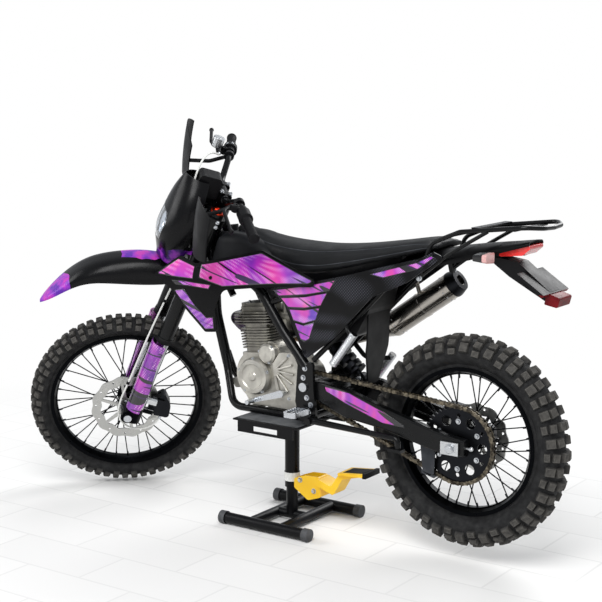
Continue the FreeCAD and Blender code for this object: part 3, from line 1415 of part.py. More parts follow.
def fork_guards():
    """A curved plastic shield on the front and outside of each fork leg."""
    y = -FORK_Y
    outer = Part.makeCone(38, 42, GUARD_HIGH - GUARD_LOW, V(FORK_X, y, GUARD_LOW))
    inner = Part.makeCone(35, 39, GUARD_HIGH - GUARD_LOW + 2, V(FORK_X, y, GUARD_LOW - 1))
    wall = outer.cut(inner)
    window = slab([(FORK_X - 60, -20), (FORK_X + 4, -20), (FORK_X + 16, 110, 30), (FORK_X + 4, 240, 60),
                   (FORK_X + 8, 400), (FORK_X - 60, 400)], y - 60, y + 60)
    inside_cut = box(FORK_X - 80, FORK_X + 80, y + 20, y + 80, -20, 500)
    shield = wall.common(window).cut(inside_cut)
    foot = box(FORK_X - 40, FORK_X + 2, y - 34, y - 20, GUARD_LOW, GUARD_LOW + 30)
    foot = foot.cut(Part.makeCylinder(LUG_RADIUS - 2, 300, V(FORK_X, y, -50))).common(outer)
    return steered(pair(fuse([shield, foot])))


def front_caliper():
    """A caliper behind the left fork foot, straddling the disc."""
    near, far = FRONT_DISC_RADIUS - 34, FRONT_DISC_RADIUS + 22
    points = []
    for angle, r, corner in ((8, near, 6), (6, far, 12), (26, far + 6, 40), (46, far, 12), (44, near, 6)):
        turn = math.radians(angle)
        points.append((AXLE_X + r * math.cos(turn), r * math.sin(turn), corner))
    body = slab(points, FRONT_DISC_Y - 28, FRONT_DISC_Y + 18)
    bracket = slab([(FORK_X + 42, 26, 4), (FORK_X + 92, 18, 4), (FORK_X + 92, 84, 4), (FORK_X + 42, 84, 4)],
                   -FORK_Y + 8, FRONT_DISC_Y - 20)
    room = rod_y(AXLE_X, 0, FRONT_DISC_RADIUS + MOVING_GAP, FRONT_DISC_Y - DISC_THICKNESS / 2 - DISC_GAP,
                 FRONT_DISC_Y + DISC_THICKNESS / 2 + DISC_GAP)
    spoke_room = rod_y(AXLE_X, 0, 90, FRONT_DISC_Y + 8, FRONT_DISC_Y + 60)
    return steered(fuse([body, bracket]).cut(Part.makeCompound([room, spoke_room])))


BAR_POINTS = [
    (-BAR_LEAD, 95, BAR_HEIGHT), (4, 190, 946), (40, 424, 934),
]
BAR_CLAMP_Y = 42.0
FAT_RADIUS = 14.3


def bar_path():
    left = [(x, -y, z) for x, y, z in BAR_POINTS[::-1]]
    return left + BAR_POINTS


@lru_cache(None)
def bar_form():
    bar = tube(bar_path(), BAR_RADIUS, 70)
    middle = rod_y(-BAR_LEAD, BAR_HEIGHT, FAT_RADIUS, -70, 70)
    return fuse([bar, middle])


def handlebar():
    return steered(bar_form())


def bar_clamps():
    """Two risers on the upper clamp, each gripping the bar."""
    parts = []
    top = UPPER_CLAMP + UPPER_CLAMP_HEIGHT
    for side in (LEFT, RIGHT):
        y = side * BAR_CLAMP_Y
        block = slab([(-BAR_LEAD - 22, top), (-BAR_LEAD + 22, top), (-BAR_LEAD + 22, BAR_HEIGHT + 16, 8),
                      (-BAR_LEAD - 22, BAR_HEIGHT + 16, 8)], y - 14, y + 14)
        parts.append(block.cut(rod_y(-BAR_LEAD, BAR_HEIGHT, FAT_RADIUS, y - 30, y + 30)))
    clamp = Part.makeCompound(parts)
    return steered(clamp.cut(Part.makeCylinder(STEM_RADIUS + 1, 60, V(0, 0, top - 2))))


def grip_frame():
    """Start and direction of the right outer run of the bar."""
    start = V(*BAR_POINTS[1])
    end = V(*BAR_POINTS[2])
    return start, (end - start).normalize(), start.distanceToPoint(end)


GRIP_RADIUS = 16.5
GRIP_LENGTH = 122.0


def grips():
    start, along, length = grip_frame()
    inner = start + along * (length - GRIP_LENGTH)
    body = rod(inner, start + along * (length + 4), GRIP_RADIUS)
    flange = rod(inner, inner + along * 6, 24)
    grip = fuse([body, flange]).cut(rod(start, start + along * length, BAR_RADIUS))
    return steered(pair(grip))


MIRROR_THREAD = 5.0
MIRROR_BOSS = 27.0
MASTER_END = V(-34, 198, 945)


def hand_controls():
    """Levers, perches, switch block, throttle drum and brake reservoir."""
    start, along, length = grip_frame()
    at = length - GRIP_LENGTH
    drum = rod(start + along * (at - 37), start + along * (at - 0.5), 25)
    perch = rod(start + along * (at - 64), start + along * (at - 36), 17)
    perch_point = start + along * (at - 50)
    arm = rod(perch_point, perch_point + V(-46, 0, 2), 11)
    pivot = perch_point + V(-46, 0, 2)
    lever = tube([tuple(pivot), tuple(pivot + V(-22, 40, -4)), tuple(pivot + V(-8, 176, -8))], 6, 40)
    ball = Part.makeSphere(8.5, pivot + V(-8, 176, -8))
    reservoir = Part.makeCylinder(20, 34, pivot + V(-10, -14, 6), V(0, 0, 1))
    master = rod(pivot, MASTER_END, 9)
    mirror_at = perch_point + V(-25, -8, -MIRROR_BOSS / 2)
    boss = Part.makeCylinder(9.5, MIRROR_BOSS, mirror_at, V(0, 0, 1))
    thread = Part.makeCylinder(MIRROR_THREAD, MIRROR_BOSS, mirror_at, V(0, 0, 1))
    right_parts = fuse([drum, perch, arm, lever, ball, reservoir, master, boss])
    switch = rod(start + along * (at - 40), start + along * (at - 2), 23)
    left_parts = fuse([perch, arm, boss, lever, ball, switch])
    room = Part.makeCompound([rod(start, start + along * length, BAR_RADIUS), thread])
    body = Part.makeCompound([right_parts.cut(room), mirrored(left_parts.cut(room))])
    return steered(body)


def hand_guards():
    """A curved shield ahead of each lever on a stay from the bar."""
    stations = [
        (226, -112, 800, 930), (300, -128, 786, 962), (380, -122, 788, 968), (424, -98, 806, 952),
    ]
    wires = []
    for y, x, low, high in stations:
        tilt = 0.26
        middle = (low + high) / 2
        points = []
        for z in (low, middle, high):
            points.append(V(x - tilt * (z - middle) - 4.0 * (1 - abs(z - middle) / (high - middle)), y, z))
        outer = Part.BSplineCurve()
        outer.interpolate(points)
        back = [p + V(4, 0, 0) for p in points[::-1]]
        inner = Part.BSplineCurve()
        inner.interpolate(back)
        wires.append(Part.Wire([
            outer.toShape(), Part.LineSegment(points[-1], back[0]).toShape(),
            inner.toShape(), Part.LineSegment(back[-1], points[0]).toShape(),
        ]))
    shield = loft(wires)
    start, along, length = grip_frame()
    seat_point = start + along * 14
    stay = tube([tuple(seat_point), (-50, seat_point.y + 10, 900), (-117, 240, 868)], 7, 40)
    clampring = rod(seat_point - along * 9, seat_point + along * 9, 18)
    body = fuse([shield, stay, clampring]).cut(bar_form())
    return steered(pair(body))


MASK_STATIONS = [
    (600, 62, -152), (650, 92, -172), (694, 106, -186), (756, 112, -185),
    (819, 100, -180), (873, 74, -171), (916, 40, -160),
]
MASK_BACK = -74.0
MASK_WALL = 3.0


def mask_section(height, half, front, inset):
    """A section across the lamp mask: a nose with sides swept back."""
    half = half - inset
    front = front + inset
    outer = [V(MASK_BACK, -half, height), V((MASK_BACK + front) / 2 - 18, -0.93 * half, height),
             V(front + 8, -0.48 * half, height), V(front, 0, height), V(front + 8, 0.48 * half, height),
             V((MASK_BACK + front) / 2 - 18, 0.93 * half, height), V(MASK_BACK, half, height)]
    curve = Part.BSplineCurve()
    curve.interpolate(outer)
    return Part.Wire([curve.toShape(), Part.LineSegment(outer[-1], outer[0]).toShape()])


@lru_cache(None)
def mask_form(inset):
    return loft([mask_section(s, half, front, inset) for s, half, front in MASK_STATIONS])


LENS_OUTLINE = [(-58, 668, 14), (58, 668, 14), (74, 742, 24), (52, 776, 20), (-52, 776, 20), (-74, 742, 24)]


def lens_prism(margin):
    points = []
    for y, z, r in LENS_OUTLINE:
        points.append((y + (margin if y > 0 else -margin), z + (margin if z > 722 else -margin), r))
    return slab(points, -260, MASK_BACK - 20, "yz")


def headlamp_mask():
    skin = mask_form(0).cut(mask_form(MASK_WALL)).cut(box(MASK_BACK - 0.01, 0, -200, 200, 500, 1000))
    skin = skin.cut(lens_prism(0))
    straps = []
    for side in (LEFT, RIGHT):
        for s, middle in ((668, 90), (770, 102)):
            straps.append(box(MASK_BACK - 2, FORK_X, side * middle - 8, side * middle + 8, s, s + 18))
    legs = [Part.makeCylinder(TUBE_RADIUS, 400, V(FORK_X, side * FORK_Y, 560)) for side in (LEFT, RIGHT)]
    body = fuse([skin] + straps).cut(Part.makeCompound(legs))
    return steered(body)


LENS_WALL = 3.5
LAMP_BACK = -146.0


def headlamp():
    """The lens and its rim around a hollow, closed at the back, with the lamp's bowl behind it."""
    block = mask_form(0.4).common(lens_prism(-SEAT_GAP)).common(box(-260, LAMP_BACK, -90, 90, 640, 800))
    hollow = mask_form(0.4 + LENS_WALL).common(lens_prism(-5)).common(box(-260, LAMP_BACK - 3, -90, 90, 640, 800))
    bowl = loft([
        outline([(-56, 678, 14), (56, 678, 14), (56, 766, 14), (-56, 766, 14)], "yz", LAMP_BACK - 4),
        outline([(-34, 694, 14), (34, 694, 14), (34, 750, 14), (-34, 750, 14)], "yz", -84),
    ])
    return steered(fuse([block.cut(hollow), bowl]))


def instrument():
    top = UPPER_CLAMP + UPPER_CLAMP_HEIGHT
    case = slab([(-108, 856, 10), (-30, 866, 8), (-34, 940, 12), (-112, 936, 14)], -35, 35)
    post = box(-62, -38, -16, 16, top, 864)
    middle = rod_y(-BAR_LEAD, BAR_HEIGHT, FAT_RADIUS + SEAT_GAP, -70, 70)
    risers = [slab([(-BAR_LEAD - 22.3, top - 4), (-BAR_LEAD + 22, top - 4), (-BAR_LEAD + 22, BAR_HEIGHT + 17),
                    (-BAR_LEAD - 22.3, BAR_HEIGHT + 17)], side * BAR_CLAMP_Y - 14.3, side * BAR_CLAMP_Y + 14.3)
              for side in (LEFT, RIGHT)]
    return steered(fuse([case, post]).cut(Part.makeCompound([middle] + risers)))


def brake_hose():
    """The front brake's hose, from the reservoir over the mask and down the left fork leg."""
    points = [
        tuple(MASTER_END), (-36, 174, 948), (-52, 146, 960), (-82, 106, 972), (-108, 56, 962), (-120, 14, 926),
        (-120, -16, 876), (-108, -42, 822), (-88, -62, 764), (-68, -72, 704), (-65, -78, 640), (-70, -84, 556),
        (-77, -90, 470), (-83, -95, 380), (-87, -98, 290), (-88, -100, 200), (-90, -103, 120), (-94, -105, 50),
        (-86, -106, -8), (-56, -105, -46), (-8, -103, -58), (38, -98, -44), (66, -88, -16), (72, -80, 13.2),
    ]
    return steered(tube(points, 3.5, 60))


FENDER_BLOCK_LOW = LOWER_CLAMP - 30.0
FRONT_FENDER_STATIONS = [
    (-972, 10, 800, 6), (-936, 40, 832, 16), (-893, 58, 864, 24), (-803, 70, 916, 46), (-730, 74, 932, 66),
    (-640, 74, 932, 84), (-560, 72, 918, 84), (-490, 70, 890, 62), (-420, 64, 858, 34),
]


def front_fender():
    """The high front fender, drawn straight ahead and turned with the fork, on its block under the lower clamp."""
    form = loft([fender_section(*station) for station in FRONT_FENDER_STATIONS])
    form.rotate(FOOT, AXIS, STEERING_LOCK)
    form = form.cut(steered(box(-120, 120, -160, 160, LOWER_CLAMP, LOWER_CLAMP + 200)))
    return fuse([form, steered(box(-52, -6, -26, 26, FENDER_BLOCK_LOW, LOWER_CLAMP))])


# Lift stand

STAND_FOOT_Z = STAND_TUBE + 1.5


def lift_stand_base():
    """Two feet along the bike, two cross tubes and the lower post."""
    z = STAND_FOOT_Z
    parts = []
    for side in (LEFT, RIGHT):
        y = side * STAND_Y
        parts.append(rod(V(-STAND_X - 28, y, z), V(STAND_X + 28, y, z), STAND_TUBE - 1))
        for end in (LEFT, RIGHT):
            x = end * (STAND_X + 28)
            parts.append(rod(V(x - end * 2, y, z), V(x + end * 22, y, z), STAND_TUBE + 2))
    for x in (-62, 62):
        parts.append(rod(V(x, -STAND_Y, z), V(x, STAND_Y, z), STAND_TUBE - 3))
    parts.append(rod(V(-62, 0, z), V(62, 0, z), STAND_TUBE - 4))
    parts.append(Part.makeCylinder(POST_INNER, 190, V(0, 0, z)))
    base = fuse(parts)
    return base.common(box(-400, 400, -400, 400, 0, 400))


POST_LOW = 122.0


def lift_stand_post():
    """The sliding outer post under the deck."""
    outer = Part.makeCylinder(POST_RADIUS, DECK_TOP - DECK_PLATE - POST_LOW, V(0, 0, POST_LOW))
    band = Part.makeCylinder(POST_RADIUS + 2.5, 30, V(0, 0, POST_LOW + 22))
    flange = box(-50, 50, -60, 60, DECK_TOP - DECK_PLATE - 8, DECK_TOP - DECK_PLATE)
    body = fuse([outer, band, flange])
    return body.cut(Part.makeCylinder(POST_INNER + 0.1, STAND_FOOT_Z + 190 - POST_LOW, V(0, 0, POST_LOW)))


def lift_stand_deck():
    """The deck with turned-down edges and slots in its sides."""
    plate = box(-STAND_X, STAND_X, -STAND_Y, STAND_Y, DECK_TOP - DECK_PLATE, DECK_TOP)
    skirts = []
    slots = []
    for side in (LEFT, RIGHT):
        y = side * (STAND_Y - 3)
        skirts.append(box(-STAND_X + 20, STAND_X - 20, y - 3, y + 3, DECK_TOP - 42, DECK_TOP))
        slots.append(box(-50, 50, y - 10, y + 10, DECK_TOP - 34, DECK_TOP - 16))
    pads = [box(-STAND_X + 8, STAND_X - 8, -STAND_Y + 12, -CRADLE_Y + 30, DECK_TOP, DECK_TOP + 2),
            box(-STAND_X + 8, STAND_X - 8, CRADLE_Y - 30, STAND_Y - 12, DECK_TOP, DECK_TOP + 2)]
    return fuse([plate] + skirts + pads).cut(Part.makeCompound(slots))


def lift_stand_pedal():
    """The foot lever that raises the deck: a collar plate, an arm and a broad tread."""
    collar = slab([(POST_RADIUS + 2.6, 160, 4), (70, 176, 10), (130, 180, 10), (136, 110, 10), (84, 92, 12),
                   (POST_RADIUS + 2.6, 128, 6)], -28, 28)
    hollow = box(POST_RADIUS + 8, 200, -23, 23, 60, 240)
    plates = collar.cut(hollow.common(box(0, 124, -40, 40, 0, 300)))
    arm = slab([(124, 150, 4), (190, 128, 10), (226, 190, 10), (316, 214, 6), (316, 222, 4), (214, 208, 10),
                (180, 156, 10), (124, 176, 4)], -34, 34)
    tread = slab([(214, 204), (320, 212), (320, 224), (214, 212)], -44, 44)
    pedal = fuse([plates, arm, tread])
    space = Part.makeCompound([Part.makeCylinder(POST_RADIUS + 2.5, 500, V(0, 0, 0))])
    return pedal.cut(space)


NODES = {
    "main_frame": lambda: fuse([main_frame(), stand_bracket()]),
    "subframe": subframe,
    "crankcase": crankcase,
    "cylinder_barrel": cylinder_barrel,
    "cylinder_head": cylinder_head,
    "engine_covers": engine_covers,
    "carburettor": carburettor,
    "airbox": airbox,
    "exhaust_header": exhaust_header,
    "muffler": muffler,
    "fuel_tank": fuel_tank,
    "seat": seat,
    "shroud_left": lambda: shroud(LEFT),
    "shroud_right": lambda: shroud(RIGHT),
    "side_panel_left": lambda: side_panel(LEFT),
    "side_panel_right": lambda: side_panel(RIGHT),
    "rear_fender": rear_fender,
    "rear_lamps": rear_lamps,
    "plate_hanger": plate_hanger,
    "luggage_rack": luggage_rack,
    "swingarm": swingarm,
    "shock_absorber": shock_absorber,
    "pivot_bolts": pivot_bolts,
    "rear_axle": rear_axle,
    "rear_caliper": rear_caliper,
    "drive_chain": drive_chain,
    "footpegs": footpegs,
    "foot_levers": foot_levers,
    "passenger_pegs": passenger_pegs,
    "side_stand": side_stand,
    "triple_clamps": triple_clamps,
    "fork_tubes": fork_tubes,
    "fork_sliders": fork_sliders,
    "fork_guards": fork_guards,
    "front_axle": front_axle,
    "front_caliper": front_caliper,
    "handlebar": handlebar,
    "bar_clamps": bar_clamps,
    "grips": grips,
    "hand_controls": hand_controls,
    "hand_guards": hand_guards,
    "instrument": instrument,
    "headlamp_mask": headlamp_mask,
    "headlamp": headlamp,
    "front_fender": front_fender,
    "brake_hose": brake_hose,
    "front_tyre": front_tyre,
    "front_wheel": front_wheel,
    "front_disc": front_disc,
    "rear_tyre": rear_tyre,
    "rear_wheel": rear_wheel,
    "rear_disc": rear_disc,
    "rear_sprocket": rear_sprocket,
    "lift_stand_base": lift_stand_base,
    "lift_stand_post": lift_stand_post,
    "lift_stand_deck": lift_stand_deck,
    "lift_stand_pedal": lift_stand_pedal,
}

os.makedirs("parts", exist_ok=True)
for name, make in NODES.items():
    shape = make()
    shape.exportStep("parts/" + name + ".step")
    print("%-18s solids %d volume %.0f valid %s" % (name, len(shape.Solids), shape.Volume, shape.isValid()))
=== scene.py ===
"""Finishes and small parts for the dirt bike on its lift stand.

Lengths are millimetres in the frame's directions, X to the rear, Y to the rider's right and Z up, and become
metres only where a mesh is made. Pieces of the front end are drawn in the steering frame, whose Z runs up the
steering axis, and turned to the left stop by one function.
"""
from math import acos, atan2, cos, hypot, pi, radians, sin

import bpy
import numpy as np
from mathutils import Matrix

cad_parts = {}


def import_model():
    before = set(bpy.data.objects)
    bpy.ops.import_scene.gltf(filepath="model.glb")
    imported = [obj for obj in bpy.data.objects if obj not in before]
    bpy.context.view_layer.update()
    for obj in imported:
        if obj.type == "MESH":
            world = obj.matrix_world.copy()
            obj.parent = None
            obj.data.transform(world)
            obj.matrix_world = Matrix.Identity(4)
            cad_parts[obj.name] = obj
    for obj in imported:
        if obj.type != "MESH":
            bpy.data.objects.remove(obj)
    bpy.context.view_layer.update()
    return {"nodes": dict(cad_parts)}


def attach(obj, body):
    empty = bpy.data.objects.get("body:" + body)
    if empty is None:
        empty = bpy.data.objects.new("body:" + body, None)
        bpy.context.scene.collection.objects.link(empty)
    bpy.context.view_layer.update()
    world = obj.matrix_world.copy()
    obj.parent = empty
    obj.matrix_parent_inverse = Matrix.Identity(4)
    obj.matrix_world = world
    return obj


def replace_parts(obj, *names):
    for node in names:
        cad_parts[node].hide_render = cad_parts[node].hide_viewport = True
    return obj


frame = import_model()
nodes = frame["nodes"]
MM = 0.001
SIDES = (-1, 1)

# Steering geometry and axles
RAKE = radians(27.2)
LOCK = radians(45.7)
FOOT = np.array((-684.64, 0.0, 324.69))
FORK_X, FORK_Y = -28.0, 105.0
FRONT_AXLE, REAR_AXLE = (-51.0, 0.0), (677.0, 386.0)

# Wheels and tyres; a carcass has a middle radius, half a width, a rise to its crown and a fall to its bead
FRONT_RIM_SEAT, FRONT_BEAD, FRONT_ROWS = 266.7, 20.0, 60
REAR_RIM_SEAT, REAR_BEAD, REAR_ROWS = 228.6, 26.0, 44
FRONT_CARCASS, REAR_CARCASS = (305.2, 36.0, 28.8, 26.5), (281.4, 48.0, 44.1, 40.8)
FRONT_RIM_FACE, REAR_RIM_FACE = 250.7, 212.6
SPOKES = 36

# Chain drive
CHAIN_PITCH = 15.875
CHAIN_Y = -70.0
DRIVE = (45.0, 525.0)
DRIVE_TEETH, REAR_TEETH = 13, 48

# Engine: crankshaft, and the cylinder head's middle above it along the leaning cylinder
CRANK = (-105.0, 507.0)
CYLINDER_LEAN, HEAD_HEIGHT = radians(6), 246.0

# Handlebar's outer run, in the steering frame
BAR_KNEE = np.array((4.0, 190.0, 946.0))
BAR_END = np.array((40.0, 424.0, 934.0))
GRIP_LENGTH = 122.0

# Tail lamp's half width, and where the turn signals start behind their stalks
TAIL_LAMP_HALF, SIGNAL_START = 58.0, 785.0


# Shapes: each is a pair, its corner points and a list of face arrays

def steered(points):
    """Turns points by the lock about Z, leans them back by the rake about Y and moves them to the foot."""
    x, y, z = np.moveaxis(np.asarray(points, float), -1, 0)
    turned_x, turned_y = x * cos(LOCK) - y * sin(LOCK), x * sin(LOCK) + y * cos(LOCK)
    leant_x, leant_z = turned_x * cos(RAKE) + z * sin(RAKE), z * cos(RAKE) - turned_x * sin(RAKE)
    return np.stack((leant_x, turned_y, leant_z), -1) + FOOT


def grid_shape(grid, wrap_rows=False, wrap_columns=False, caps=False):
    """A grid of points joined by quads to its neighbours, closed round where asked, with flat end caps."""
    rows, columns = grid.shape[:2]
    index = np.arange(rows * columns).reshape(rows, columns)
    ring = np.vstack((index, index[:1])) if wrap_rows else index
    ring = np.hstack((ring, ring[:, :1])) if wrap_columns else ring
    quads = np.stack((ring[:-1, :-1], ring[1:, :-1], ring[1:, 1:], ring[:-1, 1:]), -1).reshape(-1, 4)
    faces = [quads]
    if caps:
        faces += [index[:1], index[-1:, ::-1]]
    return grid.reshape(-1, 3), faces


def joined(shapes):
    """Several shapes as one: points end to end, face numbers moved along."""
    starts = np.cumsum([0] + [len(points) for points, _ in shapes[:-1]])
    faces = [array + start for (_, arrays), start in zip(shapes, starts) for array in arrays]
    return np.vstack([points for points, _ in shapes]), faces


def repeated(shape, places, axes):
    """A shape copied to each place: point = place + x * first axis + y * second axis + z * third axis."""
    points, faces = shape
    places, axes = np.asarray(places, float), np.asarray(axes, float)
    if axes.ndim == 2:
        axes = np.broadcast_to(axes, (len(places), 3, 3))
    copies = places[:, None] + np.einsum("pk,nkc->npc", points, axes)
    starts = np.arange(len(places))[:, None, None] * len(points)
    return copies.reshape(-1, 3), [(array + starts).reshape(-1, array.shape[1]) for array in faces]


def axes_along(directions, hint=(0.13, 0.21, 0.97)):
    """Three square axes for each direction: the third runs along it, the first two lie across it."""
    third = np.atleast_2d(np.asarray(directions, float))
    third = third / np.linalg.norm(third, axis=1, keepdims=True)
    first = np.cross(hint, third)
    first /= np.linalg.norm(first, axis=1, keepdims=True)
    return np.stack((first, np.cross(third, first), third), 1)


def lathe(profile, sides=32):
    """A profile of (radius, height) turned about Z: x = r cos t, y = r sin t, z = height, with end caps."""
    profile = np.asarray(profile, float)
    turn = np.arange(sides) * 2 * pi / sides
    grid = np.stack((profile[:, :1] * np.cos(turn), profile[:, :1] * np.sin(turn),
                     np.broadcast_to(profile[:, 1:], (len(profile), sides))), -1)
    return grid_shape(grid[:, ::-1], wrap_columns=True, caps=True)


def curve_points(points, count=64):
    """A smooth line through given points: between neighbours p1 and p2 it is the cubic whose slope at each
    is half the step from the point before to the point after."""
    points = np.asarray(points, float)
    ends = np.vstack((2 * points[0] - points[1], points, 2 * points[-1] - points[-2]))
    t = np.linspace(0, len(points) - 1 - 1e-9, count)
    i = t.astype(int)
    t = (t - i)[:, None]
    p0, p1, p2, p3 = ends[i], ends[i + 1], ends[i + 2], ends[i + 3]
    return 0.5 * (2 * p1 + (p2 - p0) * t + (2 * p0 - 5 * p1 + 4 * p2 - p3) * t ** 2
                  + (3 * p1 - p0 - 3 * p2 + p3) * t ** 3)


def even_steps(edge, count):
    """Points spaced evenly by arc length along a line of straight runs."""
    edge = np.asarray(edge, float)
    reach = np.concatenate(([0], np.cumsum(np.linalg.norm(np.diff(edge, axis=0), axis=1))))
    steps = np.linspace(0, reach[-1], count)
    return np.stack([np.interp(steps, reach, edge[:, axis]) for axis in (0, 1)], -1)


def pipe(line, radius, sides=12):
    """A circle carried square to a line: point = line + radius * (cos t * first axis + sin t * second axis)."""
    axes = axes_along(np.gradient(line, axis=0))
    turn = np.arange(sides) * 2 * pi / sides
    radius = np.broadcast_to(radius, len(line))[:, None, None]
    ring = np.cos(turn)[:, None] * axes[:, None, 0] + np.sin(turn)[:, None] * axes[:, None, 1]
    return grid_shape((line[:, None] + radius * ring)[:, ::-1], wrap_columns=True, caps=True)


def prism(outline, low, high, bevel=0.0):
    """A flat outline of (x, y) given thickness along Z, its rim drawn in by the bevel at both faces."""
    outline = np.asarray(outline, float)
    centre = outline.mean(0)
    reach = np.linalg.norm(outline - centre, axis=1, keepdims=True)
    inner = centre + (outline - centre) * (1 - bevel / reach)
    rings = [(outline, low), (outline, high)]
    if bevel:
        rings = [(inner, low), (outline, low + bevel), (outline, high - bevel), (inner, high)]
    grid = np.array([np.column_stack((ring, np.full(len(ring), level))) for ring, level in rings])
    return grid_shape(grid[:, ::-1], wrap_columns=True, caps=True)


def placed(name, data):
    """A new object in the scene."""
    thing = bpy.data.objects.new(name, data)
    bpy.context.scene.collection.objects.link(thing)
    return thing


def make(name, shape, material, body, smooth=35.0):
    """A piece from a shape in millimetres: mesh, material, smooth shading up to an angle, and body."""
    points, faces = shape
    mesh = bpy.data.meshes.new(name)
    mesh.vertices.add(len(points))
    mesh.vertices.foreach_set("co", (points * MM).ravel())
    sizes = np.concatenate([np.full(len(array), array.shape[1]) for array in faces])
    corners = np.concatenate([array.ravel() for array in faces])
    mesh.loops.add(len(corners))
    mesh.loops.foreach_set("vertex_index", corners)
    mesh.polygons.add(len(sizes))
    mesh.polygons.foreach_set("loop_start", np.concatenate(([0], np.cumsum(sizes)[:-1])))
    mesh.update(calc_edges=True)
    mesh.validate()
    mesh.materials.append(material)
    mesh.shade_smooth()
    mesh.set_sharp_from_angle(angle=radians(smooth))
    piece = placed(name, mesh)
    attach(piece, body)
    return piece


def settled(piece):
    """Makes the piece's modifiers part of its mesh."""
    mesh = bpy.data.meshes.new_from_object(piece.evaluated_get(bpy.context.evaluated_depsgraph_get()))
    piece.modifiers.clear()
    piece.data = mesh


def pressed(piece, target, along, lift):
    """Lays a film on another piece: each point moves along a direction until it meets it, less the lift."""
    turn = Matrix(axes_along([along])[0].T.tolist()).to_4x4()
    piece.data.transform(turn.inverted())
    piece.matrix_world = turn
    press = piece.modifiers.new("press", "SHRINKWRAP")
    press.target = target
    press.wrap_method = "PROJECT"
    press.use_project_z = True
    settled(piece)
    piece.data.transform(Matrix.Translation((0, 0, -lift * MM)))
    piece.data.transform(turn)
    piece.matrix_world = Matrix()


def met(target, start, along):
    """The point in millimetres, and the outward normal, where a straight line first meets a piece."""
    _, place, normal, _ = target.ray_cast([c * MM for c in start], along)
    return np.array(place) / MM, np.array(normal)


def screw(radius, height, hexagon=False):
    """A screw head on its washer: a six-sided head, or a round one with a socket sunk in it."""
    washer = lathe([(radius * 1.3, -2), (radius * 1.35, 0), (radius * 1.35, 0.9), (radius, 1.2)], 20)
    head = [(radius, -2), (radius, height * 0.75), (radius * 0.85, height)]
    if not hexagon:
        head += [(radius * 0.52, height), (radius * 0.48, height * 0.4)]
    return joined([washer, lathe(head, 6 if hexagon else 20)])


# Materials

def linear(code):
    """A linear colour from an sRGB hex code."""
    channels = [int(code[i:i + 2], 16) / 255 for i in (1, 3, 5)]
    return tuple(c / 12.92 if c <= 0.04045 else ((c + 0.055) / 1.055) ** 2.4 for c in channels) + (1.0,)


def output(node):
    """A node's first output in use."""
    return next(socket for socket in node.outputs if socket.enabled)


def add(tree, kind, inputs=None, stops=None, to=None, **settings):
    """Adds a shader node, and links it to a socket if one is given.

    An input given as a node or a socket is linked, any other value is set. Stops are a colour ramp's
    (place, hex colour) pairs.
    """
    node = tree.nodes.new("ShaderNode" + kind)
    for key, value in settings.items():
        setattr(node, key, value)
    for key, value in (inputs or {}).items():
        if isinstance(value, bpy.types.Node):
            value = output(value)
        if isinstance(value, bpy.types.NodeSocket):
            tree.links.new(value, node.inputs[key])
        else:
            node.inputs[key].default_value = value
    if stops:
        elements = node.color_ramp.elements
        elements[0].position, elements[1].position = stops[0][0], stops[-1][0]
        elements[0].color, elements[1].color = linear(stops[0][1]), linear(stops[-1][1])
        for spot, code in stops[1:-1]:
            elements.new(spot).color = linear(code)
    if to:
        tree.links.new(output(node), to)
    return node


def noise(tree, place, scale, detail, **more):
    """Soft noise: how often it comes in a metre, and how many finer layers lie on it."""
    return add(tree, "TexNoise", {"Vector": place, "Scale": scale, "Detail": detail} | more)


def maths(tree, operation, *values):
    """A calculation on values, nodes or sockets."""
    return add(tree, "Math", dict(enumerate(values)), operation=operation)


def mapped(tree, value, start, end, low=0.0, high=1.0, to=None):
    """A value's run from start to end, made one from low to high and held at its ends."""
    return add(tree, "MapRange", {"Value": value, "From Min": start, "From Max": end, "To Min": low,
                                  "To Max": high}, to=to)


def ramped(codes, start, end):
    """Evenly spaced stops from start to end, one for each hex code."""
    return [(start + (end - start) * i / (len(codes) - 1), code) for i, code in enumerate(codes)]


def finish(name, colour, roughness, metallic=0.0, gloss=0.5, bumps=None, wear=None, tones=None, **sockets):
    """A material: gives it, its node tree, its surface shader, its texture coordinates and its ramp of tones.

    Bumps are the width, height and detail of a grain. Wear is a patch size and the two roughnesses that the
    surface wanders between. Tones are a patch size and the hex codes that its colour drifts between. Sizes are
    in millimetres.
    """
    material = bpy.data.materials.new(name)
    material.use_nodes = True
    material.diffuse_color = linear(colour)
    tree = material.node_tree
    shader = tree.nodes["Principled BSDF"]
    values = {"Base Color": linear(colour), "Roughness": roughness, "Metallic": metallic,
              "Specular IOR Level": gloss}
    for key, value in (values | sockets).items():
        shader.inputs[key].default_value = value
    place = add(tree, "TexCoord").outputs["Object"]
    if bumps:
        width, height, detail = bumps
        grain = noise(tree, place, 1 / (width * MM), detail)
        add(tree, "Bump", {"Height": grain, "Distance": height * MM}, to=shader.inputs["Normal"])
    if wear:
        size, low, high = wear
        rubbed = noise(tree, place, 1 / (size * MM), 3.0)
        mapped(tree, rubbed, 0.3, 0.7, low, high, shader.inputs["Roughness"])
    ramp = None
    if tones:
        size, codes = tones
        drift = noise(tree, place, 1 / (size * MM), 4.0)
        ramp = add(tree, "ValToRGB", {"Fac": drift}, ramped(codes, 0.35, 0.65), shader.inputs["Base Color"])
    return material, tree, shader, place, ramp


def over(tree, shader, below, mask, colour):
    """Lays a node's colour or a hex code over the one below where the mask is 1, and gives the mix."""
    if isinstance(colour, str):
        colour = linear(colour)
    return add(tree, "Mix", {"Factor": mask, "A": below, "B": colour}, to=shader.inputs["Base Color"],
               data_type="RGBA")


